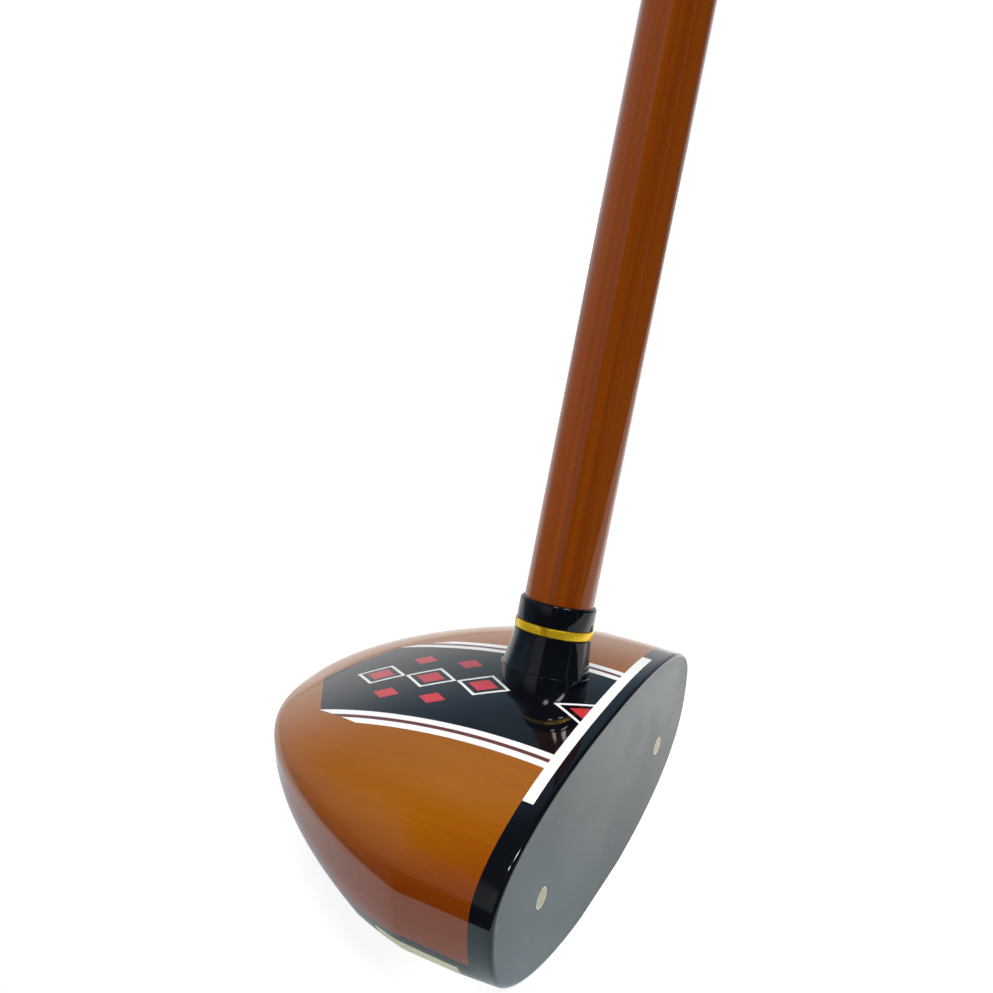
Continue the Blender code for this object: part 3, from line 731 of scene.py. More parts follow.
@dataclass(frozen=True)
class MetalFinish(Finish):
    """Brushed and lightly scuffed metal, with dark bands of painted reflection where they are
    asked for.
    """

    metal: Metal = Metal.BRASS
    dull: float = 0.72
    dull_share: float = 0.35
    bright: float = 1.2
    bright_share: float = 0.5
    # how strongly dark bands of painted reflection cross the metal; only the gold ring has them
    streaks_and_painted_light: float = 0.0
    streak_noise: Noise = (170.0, 0.0, 0.5)
    streak_stretch: Triple = (1.0, 1.0, 0.05)
    streak_range: Point = (0.53, 0.43)
    painted_reflection_shade: float = 0.25
    scuff_scale: float = 55.0
    cloud_scale: float = 60.0
    line_rough: float = 0.10
    scuff_rough: float = 0.12
    cloud_rough: float = 0.06
    line_depth: float = 0.00001

    def paint(self, work: Dressing) -> None:
        """Paint the metal with its brushing, scuffs, dull clouds and dark bands of painted
        reflection.

        Args:
            work: The material in the making.
        """
        colour, scale, scuffing = self.metal.value
        sheet, shared = work.sheet, work.shared
        lines = work.pattern(shared.brushing, scale=scale)
        scuffs = work.pattern(shared.scuffs, scale=self.scuff_scale, amount=scuffing)
        clouds = work.pattern(shared.clouds, scale=self.cloud_scale)
        dulled = sheet.product(clouds, self.dull_share)
        worn = sheet.mix(dulled, colour, shaded(colour, self.dull))
        # dark bands painted across the metal stand in for dark reflections: painted reflection,
        # used on the gold ring only
        value = sheet.noise(sheet.stretched(work.place, self.streak_stretch), *self.streak_noise)
        streaks_and_painted_light = sheet.ramp(value, *self.streak_range, 0.0, self.streaks_and_painted_light)
        worn = sheet.mix(streaks_and_painted_light, worn, shaded(colour, self.painted_reflection_shade))
        bright = tuple(min(1.0, part) for part in shaded(colour, self.bright))
        work.colour(sheet.mix(sheet.product(scuffs, self.bright_share), worn, bright))
        rough = sheet.math("MULTIPLY_ADD", lines, self.line_rough, self.roughness)
        rough = sheet.math("MULTIPLY_ADD", scuffs, self.scuff_rough, rough)
        work.rough(sheet.math("MULTIPLY_ADD", clouds, self.cloud_rough, rough))
        work.bump(sheet.math("SUBTRACT", lines, scuffs), self.line_depth)


@dataclass(frozen=True)
class PinFinish(Finish):
    """Cream plastic with a faint mottle and cut marks."""

    cream: Colour = (0.56, 0.52, 0.35)
    mottled: float = 0.82
    cloud_scale: float = 420.0
    scuff_scale: float = 120.0
    scuff_amount: float = 0.5
    scuff_rough: float = 0.2

    def paint(self, work: Dressing) -> None:
        """Paint the cream and roughen its cut marks.

        Args:
            work: The material in the making.
        """
        sheet, shared = work.sheet, work.shared
        clouds = work.pattern(shared.clouds, scale=self.cloud_scale)
        work.colour(sheet.mix(clouds, self.cream, shaded(self.cream, self.mottled)))
        scuffs = work.pattern(shared.scuffs, scale=self.scuff_scale, amount=self.scuff_amount)
        work.rough(sheet.math("MULTIPLY_ADD", scuffs, self.scuff_rough, self.roughness))


@dataclass(frozen=True)
class ShaftLacquer(Finish):
    """Brown pearl lacquer over a wound fibre tube, its lengthwise streaks partly painted light and
    shade.
    """

    # light and dark browns of the streak bands, laid where light and shade fall across the tube:
    # partly lacquer tone, partly painted light and shade
    light: Colour = (0.262, 0.054, 0.0010)
    dark: Colour = (0.180, 0.032, 0.0007)
    lean: float = 0.0
    painted_shade_shift: float = 0.357
    streak_stretch: Triple = (1.0, 1.0, 0.012)
    streaks_and_painted_light: Noise = (420.0, 4.0, 0.6)
    streak_share: float = 0.45
    broad: Noise = (120.0, 2.0, 0.5)
    broad_share: float = 0.55
    tone_range: Point = (0.34, 0.64)
    flake_scale: float = 2200.0
    flake_share: float = 0.3
    flake_strength: float = 0.10
    flake_colour: Colour = (0.52, 0.20, 0.01)
    gloss_range: Point = (0.3, 0.7)
    gloss: Point = (0.30, 0.42)

    def paint(self, work: Dressing) -> None:
        """Paint the brown with its streak pattern, partly painted light and shade, and its flakes.

        Args:
            work: The material in the making.
        """
        sheet = work.sheet
        # the streak pattern is shifted so that its light and dark bands fall where the tube is lit
        # and shaded: painted light and shade
        turn, shift = (0.0, -self.lean, 0.0), (self.painted_shade_shift, 0.0, 0.0)
        along = sheet.stretched(work.place, self.streak_stretch, turn, shift)
        streaks_and_painted_light = sheet.noise(along, *self.streaks_and_painted_light)
        broad = sheet.product(sheet.noise(along, *self.broad), self.broad_share)
        tone = sheet.math("MULTIPLY_ADD", streaks_and_painted_light, self.streak_share, broad)
        colour = sheet.mix(sheet.ramp(tone, *self.tone_range), self.dark, self.light)
        feeds = {"scale": self.flake_scale, "share": self.flake_share}
        flakes = sheet.product(work.pattern(work.shared.flakes, **feeds), self.flake_strength)
        work.colour(sheet.mix(flakes, colour, self.flake_colour))
        work.rough(sheet.ramp(streaks_and_painted_light, *self.gloss_range, *self.gloss))


@dataclass(frozen=True)
class GlossBlack(Finish):
    """Polished black plastic with a trace of handling."""

    black: Colour = (0.0026, 0.0032, 0.0050)
    clouded: float = 1.5
    cloud_scale: float = 90.0
    cloud_rough: float = 0.03
    scuff_scale: float = 70.0
    scuff_amount: float = 0.2
    scuff_rough: float = 0.08

    def paint(self, work: Dressing) -> None:
        """Paint the black and roughen where it was handled.

        Args:
            work: The material in the making.
        """
        sheet, shared = work.sheet, work.shared
        clouds = work.pattern(shared.clouds, scale=self.cloud_scale)
        scuffs = work.pattern(shared.scuffs, scale=self.scuff_scale, amount=self.scuff_amount)
        work.colour(sheet.mix(clouds, self.black, shaded(self.black, self.clouded)))
        rough = sheet.math("MULTIPLY_ADD", clouds, self.cloud_rough, self.roughness)
        work.rough(sheet.math("MULTIPLY_ADD", scuffs, self.scuff_rough, rough))


@dataclass(frozen=True)
class GripRubber(Finish):
    """Matt black moulded rubber with a fine cast texture and paler worn high spots."""

    black: Colour = (0.016, 0.016, 0.017)
    pale: Colour = (0.055, 0.054, 0.052)
    pale_share: float = 0.7
    cast: Noise = (1800.0, 4.0, 0.65)
    cast_depth: float = 0.00008
    worn_range: Point = (0.5, 0.75)
    cloud_scale: float = 40.0
    gloss: Point = (0.62, 0.78)

    def paint(self, work: Dressing) -> None:
        """Paint the black and its worn spots, and raise the cast texture.

        Args:
            work: The material in the making.
        """
        sheet = work.sheet
        cast = sheet.noise(work.place, *self.cast)
        clouds = work.pattern(work.shared.clouds, scale=self.cloud_scale)
        worn = sheet.product(sheet.ramp(cast, *self.worn_range), clouds, self.pale_share)
        work.colour(sheet.mix(worn, self.black, self.pale))
        work.rough(sheet.ramp(clouds, 0.0, 1.0, *self.gloss))
        work.bump(cast, self.cast_depth)


@dataclass(frozen=True)
class GripTape(Finish):
    """Woven cloth tape under the grip."""

    thread: Colour = (0.36, 0.35, 0.32)
    gap_shade: float = 0.6
    weave_scale: float = 500.0
    weave_depth: float = 0.0001
    soil: Colour = (0.2, 0.19, 0.17)
    soil_share: float = 0.3
    cloud_scale: float = 50.0

    def paint(self, work: Dressing) -> None:
        """Paint the threads and their soiling, and raise the weave.

        Args:
            work: The material in the making.
        """
        sheet = work.sheet
        feeds = {"Vector": work.place, "Scale": self.weave_scale}
        waves = [sheet.put("ShaderNodeTexWave", feeds, bands_direction=way) for way in "YZ"]
        weave = sheet.product(*(wave.outputs["Fac"] for wave in waves))
        clouds = work.pattern(work.shared.clouds, scale=self.cloud_scale)
        # the gaps between the threads are painted darker: painted shade
        colour = sheet.mix(weave, shaded(self.thread, self.gap_shade), self.thread)
        work.colour(sheet.mix(sheet.product(clouds, self.soil_share), colour, self.soil))
        work.bump(weave, self.weave_depth)


@dataclass(frozen=True)
class BareWood(Finish):
    """Plain turned wood with its rings and pores."""

    light: Colour = (0.50, 0.34, 0.19)
    dark: Colour = (0.33, 0.20, 0.10)
    ring_scale: float = 160.0
    ring_waver: float = 3.0
    ring_detail: float = 3.0
    pore_scale: float = 900.0
    pore_share: float = 0.25
    pore_depth: float = 0.00004

    def paint(self, work: Dressing) -> None:
        """Paint the rings and the pores, and sink the pores.

        Args:
            work: The material in the making.
        """
        sheet = work.sheet
        feeds = {
            "Vector": work.place,
            "Scale": self.ring_scale,
            "Distortion": self.ring_waver,
            "Detail": self.ring_detail,
        }
        rings = sheet.put("ShaderNodeTexWave", feeds, wave_type="RINGS").outputs["Fac"]
        pores = work.pattern(work.shared.brushing, scale=self.pore_scale)
        colour = sheet.mix(rings, self.light, self.dark)
        work.colour(sheet.mix(sheet.product(pores, self.pore_share), colour, self.dark))
        work.bump(pores, self.pore_depth)


@dataclass(frozen=True)
class Palette:
    """Every material of the club."""

    head: Material
    face: Material
    rim: Material
    pin: Material
    brass: Material
    turned_brass: Material
    steel: Material
    shaft: Material
    ferrule: Material
    gold: Material
    rubber: Material
    tape: Material
    wood: Material

    @classmethod
    def build(cls, lean: float) -> Palette:
        """Build the materials.

        Args:
            lean: The shaft's angle from upright.

        Returns:
            The palette.
        """
        clear = {"coat": 1.0, "coat_roughness": 0.02}
        finishes = {
            "head": LacqueredHead("brown lacquered wood", specular=0.03, **clear),
            "face": StrikingFaceFinish("striking face"),
            "rim": PlateRimFinish("black plate rim", specular=0.06, **clear),
            "pin": PinFinish("cream pin", roughness=0.35),
            "brass": MetalFinish("sole brass", roughness=0.28, metallic=0.6),
            "turned_brass": MetalFinish("weight brass", 0.35, 1.0, metal=Metal.TURNED_BRASS),
            "steel": MetalFinish("screw steel", 0.22, 1.0, metal=Metal.STEEL),
            "shaft": ShaftLacquer("brown lacquered tube", specular=0.03, lean=lean, **clear),
            "ferrule": GlossBlack("gloss black plastic", roughness=0.03),
            # the gold ring's dark bands are painted reflection
            "gold": MetalFinish("gold ring", 0.22, 0.60, metal=Metal.GOLD, streaks_and_painted_light=0.8),
            "rubber": GripRubber("grip rubber"),
            "tape": GripTape("grip tape", roughness=0.85),
            "wood": BareWood("plug wood", roughness=0.7),
        }
        shared = SharedPatterns.build()
        return cls(**{name: finish.make(shared) for name, finish in finishes.items()})


def smooth_mesh(name: str, bm: bmesh.types.BMesh) -> Mesh:
    """Turn a bmesh into a smooth mesh whose faces point out and whose edges stay sharp.

    Args:
        name: The mesh's name.
        bm: The bmesh, which is freed.

    Returns:
        The mesh.
    """
    bmesh.ops.recalc_face_normals(bm, faces=bm.faces)
    mesh = bpy.data.meshes.new(name)
    bm.to_mesh(mesh)
    bm.free()
    mesh.shade_smooth()
    mesh.set_sharp_from_angle(angle=SHARP_ANGLE)
    return mesh


def loft(name: str, rings: Sequence[Sequence[Vector]], tip: Vector | None = None) -> Mesh:
    """Close a row of rings of points into a solid.

    Args:
        name: The mesh's name.
        rings: Rings of equally many points.
        tip: Point that the last ring runs into; without one it is closed by a face.

    Returns:
        The mesh.
    """
    bm = bmesh.new()
    rows = [[bm.verts.new(point) for point in ring] for ring in rings]
    count = len(rows[0])
    for row, following in zip(rows, rows[1:]):
        for index in range(count):
            turn = (index + 1) % count
            bm.faces.new((row[index], row[turn], following[turn], following[index]))
    bm.faces.new(rows[0])
    if tip is None:
        bm.faces.new(rows[-1])
    else:
        end = bm.verts.new(tip)
        for index in range(count):
            bm.faces.new((rows[-1][index], rows[-1][(index + 1) % count], end))
    bmesh.ops.remove_doubles(bm, verts=bm.verts, dist=1e-6)
    return smooth_mesh(name, bm)


def turned(name: str, profile: Sequence[Point], place: Matrix, steps: int = 96) -> Mesh:
    """Turn a profile of (radius, height) points about Z into a solid and put it in its place.

    Args:
        name: The mesh's name.
        profile: Points in order; a first point on the axis makes a solid without a bore.
        place: Matrix from the profile's frame to the club's.
        steps: Faces round the axis.

    Returns:
        The mesh, with its place in its points.
    """
    bm = bmesh.new()
    rows = []
    for radius, height in profile:
        if radius == 0.0:
            rows.append([bm.verts.new((0.0, 0.0, height))] * steps)
            continue
        angles = (2.0 * math.pi * step / steps for step in range(steps))
        ring = ((radius * math.cos(a), radius * math.sin(a), height) for a in angles)
        rows.append([bm.verts.new(point) for point in ring])
    pairs = list(zip(rows, rows[1:]))
    if profile[0][0] > 0.0:
        pairs.append((rows[-1], rows[0]))
    for row, following in pairs:
        for step in range(steps):
            turn = (step + 1) % steps
            corners = dict.fromkeys((row[step], row[turn], following[turn], following[step]))
            if len(corners) > 2:
                bm.faces.new(list(corners))
    bmesh.ops.transform(bm, matrix=place, verts=bm.verts)
    return smooth_mesh(name, bm)


def corner(radius: float, height: float, edge: float, upper: bool, steps: int = 6) -> list[Point]:
    """Round an outer corner of a profile.

    Args:
        radius: Radius of the corner.
        height: Height of the corner.
        edge: Radius of its rounding.
        upper: Whether the wall ends at the corner, and doesn't start there.
        steps: Parts of the arc.

    Returns:
        Points of the arc, from below to above.
    """
    start, middle = (0.0, height - edge) if upper else (-90.0, height + edge)
    angles = (math.radians(start + 90.0 * step / steps) for step in range(steps + 1))
    return [(radius - edge + edge * math.cos(a), middle + edge * math.sin(a)) for a in angles]


def temporary(mesh: Mesh) -> bpy.types.Object:
    """Link an object that shows a mesh for as long as it is worked on.

    Args:
        mesh: The mesh.

    Returns:
        The object.
    """
    thing = bpy.data.objects.new(mesh.name, mesh)
    bpy.context.scene.collection.objects.link(thing)
    return thing


def evaluated_mesh(thing: bpy.types.Object) -> Mesh:
    """Apply an object's modifiers.

    Args:
        thing: The object.

    Returns:
        The result as a plain mesh.
    """
    bpy.context.view_layer.update()
    graph = bpy.context.evaluated_depsgraph_get()
    return bpy.data.meshes.new_from_object(thing.evaluated_get(graph))


def carved(mesh: Mesh, cutters: Sequence[Mesh]) -> Mesh:
    """Cut meshes out of a mesh.

    Args:
        mesh: The mesh that is cut.
        cutters: What is taken out of it.

    Returns:
        The rest, with sharp edges.
    """
    body = temporary(mesh)
    guides = [temporary(cutter) for cutter in cutters]
    for guide in guides:
        cut = body.modifiers.new(guide.name, "BOOLEAN")
        cut.operation = "DIFFERENCE"
        cut.solver = "EXACT"
        cut.object = guide
    result = evaluated_mesh(body)
    result.name = mesh.name
    result.shade_smooth()
    result.set_sharp_from_angle(angle=SHARP_ANGLE)
    for thing in (body, *guides):
        bpy.data.objects.remove(thing, do_unlink=True)
    return result


def show(
    name: str,
    mesh: Mesh,
    material: Material | None,
    nodes: Sequence[str],
) -> None:
    """Put a finished mesh into the scene as a piece of the club.

    Args:
        name: The piece's name.
        mesh: Its mesh, already in the club's frame.
        material: Its material, or nothing where the mesh has its materials already.
        nodes: The CAD nodes that it stands for.
    """
    piece = bpy.data.objects.new(name, mesh)
    bpy.context.scene.collection.objects.link(piece)
    if material is not None:
        mesh.materials.clear()
        mesh.materials.append(material)
    if nodes:
        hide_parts(*nodes)
    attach(piece, BODY)
    LOG.info("%s stands for %s, %d faces", name, ", ".join(nodes) or "nothing", len(mesh.polygons))


def dress(node: str, material: Material) -> None:
    """Give a CAD node that stays its material.

    Args:
        node: The node's name.
        material: The material.
    """
    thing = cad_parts[node]
    for slot in thing.material_slots:
        slot.material = material
    LOG.info("%s stays, in %s", node, material.name)


class Recipe:
    """A Geometry Nodes tree with named inputs that is run once on a base mesh."""

    KINDS = {float: "NodeSocketFloat", int: "NodeSocketInt"}

    def __init__(self, name: str, sizes: dict[str, float | int], links: dict[str, str]) -> None:
        """Start a tree.

        Args:
            name: The tree's name.
            sizes: Its number inputs with their values.
            links: Its other inputs, each with its socket type.
        """
        self.tree = bpy.data.node_groups.new(name, "GeometryNodeTree")
        face = self.tree.interface
        face.new_socket("Base", in_out="INPUT", socket_type="NodeSocketGeometry")
        for title, value in sizes.items():
            socket = face.new_socket(title, in_out="INPUT", socket_type=self.KINDS[type(value)])
            socket.default_value = value
        for title, kind in links.items():
            face.new_socket(title, in_out="INPUT", socket_type=kind)
        face.new_socket("Result", in_out="OUTPUT", socket_type="NodeSocketGeometry")
        self.sheet = NodeSheet(self.tree)
        self.coming = self.sheet.put("NodeGroupInput").outputs
        self.going = self.sheet.put("NodeGroupOutput")

    def finish(self, geometry: Socket) -> None:
        """End the tree: make instances real, shade them smooth and set the material.

        Args:
            geometry: What the tree has made.
        """
        real = self.sheet.out("GeometryNodeRealizeInstances", {0: geometry})
        smooth = self.sheet.out("GeometryNodeSetShadeSmooth", {0: real})
        feeds = {"Geometry": smooth, "Material": self.coming["Finish"]}
        self.sheet.feed(self.going.inputs[0], self.sheet.out("GeometryNodeSetMaterial", feeds))

    def run(self, base: Mesh, values: dict[str, Any], place: Matrix | None = None) -> Mesh:
        """Run the tree on a base mesh.

        Args:
            base: The mesh that it starts from.
            values: Values of its inputs, by name.
            place: Matrix that the result's points are moved by.

        Returns:
            The result as a plain mesh.
        """
        holder = temporary(base)
        modifier = holder.modifiers.new(self.tree.name, "NODES")
        modifier.node_group = self.tree
        for item in self.tree.interface.items_tree:
            if item.name in values:
                modifier[item.identifier] = values[item.name]
        mesh = evaluated_mesh(holder)
        holder.modifiers.clear()
        bpy.data.objects.remove(holder, do_unlink=True)
        if place is not None:
            mesh.transform(place)
        mesh.set_sharp_from_angle(angle=SHARP_ANGLE)
        return mesh


@dataclass(frozen=True)
class HeadForm:
    """Outer form of the head, from formulas of the depth behind the face.

    A cross section is two half ovals that meet on the widest line. Each fullness holds the power
    at the face and the one further back.
    """

    width: float = 0.1307
    depth: float = 0.1024
    widest_height: float = 0.0376
    crown_height: float = 0.0219
    crown_top: float = 0.0122
    parallel_depth: float = 0.0262
    sole_depth: float = 0.0429
    land_drop: float = 0.0006
    relief_depth: float = 0.0120
    nose_power: float = 1.28
    side_power: float = 2.21
    crown_line_power: float = 1.90
    crown_line_root: float = 0.90
    sole_line_power: float = 0.89
    crown_fullness: Point = (2.33, 2.44)
    skirt_fullness: Point = (1.92, 3.20)
    sole_fullness: Point = (2.72, 2.96)
    half_steps: int = 144
    slope_step: float = 0.001

    def _run(self, depth: float, start: float) -> float:
        """Share of the way from a starting depth to the back."""
        return min(max((depth - start) / (self.depth - start), 0.0), 1.0)

    def half_width(self, depth: float) -> float:
        """Half width of the head at a depth."""
        run = self._run(depth, self.parallel_depth)
        return 0.5 * self.width * (1.0 - run**self.nose_power) ** (1.0 / self.side_power)

    def rise(self, depth: float) -> float:
        """Rise of the crown above the widest line at a depth."""
        run = min(abs(depth - self.crown_top) / (self.depth - self.crown_top), 1.0)
        return self.crown_height * (1.0 - run**self.crown_line_power) ** self.crown_line_root

    def drop(self, depth: float) -> float:
        """Drop of the sole below the widest line at a depth."""
        run = self._run(depth, self.sole_depth)
        return (self.widest_height + self.land_drop) * math.sqrt(1.0 - run**self.sole_line_power)

    def fullness(self, depth: float, above: bool) -> Point:
        """Look up how full the cross section is.

        Args:
            depth: Depth of the section.
            above: Whether its upper half is meant.

        Returns:
            Its powers sideways and up or down.
        """
        share = depth / self.depth
        if above:
            power = self._mixed(self.crown_fullness, share)
            return power, power
        relief = 1.0 - min(depth / self.relief_depth, 1.0)
        skirt = self._mixed(self.skirt_fullness, share)
        return skirt, self._mixed(self.sole_fullness[::-1], relief)

    @staticmethod
    def _mixed(ends: Point, share: float) -> float:
        """Value at a share of the way between two ends."""
        return ends[0] + (ends[1] - ends[0]) * share

    def section(self, depth: float, inset: float = 0.0) -> list[Vector]:
        """Draw the cross section at a depth.

        Args:
            depth: Depth of the section.
            inset: How far it is drawn in.

        Returns:
            Its points, from the heel over the crown to the toe and back.
        """
        half_width = self.half_width(depth) - inset
        points = []
        for step in range(2 * self.half_steps):
            angle = math.pi * step / self.half_steps
            above = step < self.half_steps
            side, height = self.fullness(depth, above)
            reach = (self.rise(depth) if above else self.drop(depth)) - inset
            x = half_width * self._power(math.cos(angle), 2.0 / side)
            z = self.widest_height + reach * self._power(math.sin(angle), 2.0 / height)
            points.append(Vector((x, depth - ORIGIN_DEPTH, max(z, inset))))
        return points

    @staticmethod
    def _power(value: float, power: float) -> float:
        """Power of a signed value that keeps its sign."""
        return math.copysign(abs(value) ** power, value)

    def crown_point(self, x: float, depth: float) -> Vector:
        """Find the point on the crown above a place in plan.

        Args:
            x: Place from toe to heel.
            depth: Depth of the place.

        Returns:
            The point in the club's frame.
        """
        side, height = self.fullness(depth, above=True)
        share = 1.0 - (abs(x) / self.half_width(depth)) ** side
        z = self.widest_height + self.rise(depth) * share ** (1.0 / height)
        return Vector((x, depth - ORIGIN_DEPTH, z))

    def sole_height(self, reach: float, depth: float) -> float:
        """Find the height of the sole.

        Args:
            reach: Place across the head, from -1 at the toe to 1 at the heel.
            depth: Depth of the place.

        Returns:
            The height above the ground.
        """
        side, height = self.fullness(depth, above=False)
        share = (1.0 - min(abs(reach), 1.0) ** side) ** (1.0 / height)
        return max(self.widest_height - self.drop(depth) * share, 0.0)

    def sole_point(self, reach: float, depth: float, inside: float = 0.0) -> tuple[Vector, Vector]:
        """Find a point on the sole or inside it.

        Args:
            reach: Place across the head, from -1 at the toe to 1 at the heel.
            depth: Depth of the place.
            inside: Distance of the point inside the sole.

        Returns:
            The point, and the way out of the sole there.
        """
        half_width = self.half_width(depth)
        before, point, after = (
            Vector((place * half_width, depth - ORIGIN_DEPTH, self.sole_height(place, depth)))
            for place in (reach - self.slope_step, reach, reach + self.slope_step)
        )
        along = (after - before).normalized()
        outward = Vector((along.z, 0.0, -along.x))
        return point - outward * inside, outward

    def plate_reach(self, rise: float, depth: float) -> float:
        """Find where the sole has risen to a height.

        Args:
            rise: The height.
            depth: Depth of the place.

        Returns:
            The reach there, between 0 and 1.
        """
        side, height = self.fullness(depth, above=False)
        share = min((self.widest_height - rise) / self.drop(depth), 1.0)
        return (1.0 - share**height) ** (1.0 / side)


@dataclass
class Head:
    """Lacquered wooden head behind the face plate."""

    form: HeadForm
    sole: SolePlate
    start: float = 0.00622
    rings: int = 110

    def build(self, palette: Palette) -> None:
        """Build the head with its pocket for the sole plate.

        Args:
            palette: The club's materials.
        """
        length = self.form.depth - self.start
        turns = (0.5 * math.pi * step / self.rings for step in range(self.rings))
        rings = [self.form.section(self.start + length * math.sin(turn)) for turn in turns]
        tip = Vector((0.0, self.form.depth - ORIGIN_DEPTH, self.form.widest_height))
        block = carved(loft("lacquered_head", rings, tip), [self.sole.pocket()])
        show("lacquered_head", block, palette.head, ["head_block"])


@dataclass
class StrikingFace:
    """Face plate and the two cream pins that key it to the head."""

    form: HeadForm
    thickness: float = 0.0062
    edge_radius: float = 0.0012
    edge_steps: int = 8
    wall_shares: Triple = (0.33, 0.66, 1.0)
    front_limit: float = 0.000005
    pin_radius: float = 0.00285
    pin_rim: float = 0.00040
    pin_length: float = 0.0180
    pin_spacing: float = 0.0800
    pin_height: float = 0.0274
    pin_drop: float = 0.0033
    pin_gap: float = 0.00006
    pin_edge: float = 0.0001
    pin_dish: float = 0.00002
    pin_groove: float = 0.00008
    pin_lip: Point = (0.00004, 0.00001)
    pin_sides: int = 64
    hole_start: float = -0.004

    def build(self, palette: Palette) -> None:
        """Build the plate and its pins.

        Args:
            palette: The club's materials.
        """
        radius, start, end = self.pin_radius + self.pin_gap, self.hole_start, self.pin_length
        outline = [(0.0, start), (radius, start), (radius, end), (0.0, end)]
        places = [self._frame(side) for side in (-1.0, 1.0)]
        holes = [turned("pin_hole", outline, place, self.pin_sides) for place in places]
        plate = carved(loft("striking_plate", self._rings()), holes)
        plate.materials.clear()
        plate.materials.append(palette.face)
        plate.materials.append(palette.rim)
        for face in plate.polygons:
            face.material_index = int(face.center.y > self.front_limit - ORIGIN_DEPTH)
        show("striking_plate", plate, None, ["face_plate"])
        for name, side in (("toe", -1.0), ("heel", 1.0)):
            show(f"cream_pin_{name}", self._pin(side, palette), None, [f"face_pin_{name}"])

    def _rings(self) -> list[list[Vector]]:
        """Draw the plate's cross sections.

        Returns:
            The sections of the rounded edge and then those of the rim.
        """
        edge, rings = self.edge_radius, []
        for step in range(self.edge_steps + 1):
            angle = 0.5 * math.pi * step / self.edge_steps
            depth = edge * (1.0 - math.cos(angle))
            rings.append(self.form.section(depth, edge * (1.0 - math.sin(angle))))
        for share in self.wall_shares:
            rings.append(self.form.section(edge + (self.thickness - edge) * share))
        return rings

    def _frame(self, side: float) -> Matrix:
        """Lay a pin's length along +Y at its place.

        Args:
            side: -1 for the toe or 1 for the heel.

        Returns:
            Matrix from the pin's frame to the club's.
        """
        x = 0.5 * side * self.pin_spacing
        middle = (x, -ORIGIN_DEPTH, self.pin_height - 0.5 * side * self.pin_drop)
        return Matrix.Translation(middle) @ Matrix.Rotation(-0.5 * math.pi, 4, "X")

    def _pin(self, side: float, palette: Palette) -> Mesh:
        """Make a pin with a cream core inside a thin brass sleeve.

        Args:
            side: -1 for the toe or 1 for the heel.
            palette: The club's materials.

        Returns:
            The pin with its two materials.
        """
        radius, dish, end = self.pin_radius, self.pin_dish, self.pin_length
        core = radius - self.pin_rim
        profile = [(0.0, dish), (core - self.pin_edge, dish), (core, self.pin_groove)]
        profile += [(core + self.pin_lip[0], self.pin_lip[1]), (radius - self.pin_edge, 0.0)]
        profile += [(radius, self.pin_edge), (radius, end), (0.0, end)]
        mesh = turned("cream_pin", profile, self._frame(side), self.pin_sides)
        mesh.materials.append(palette.pin)
        mesh.materials.append(palette.brass)
        middle = self._frame(side).translation
        for face in mesh.polygons:
            off = face.center - middle
            face.material_index = int(math.hypot(off.x, off.z) > core)
        return mesh


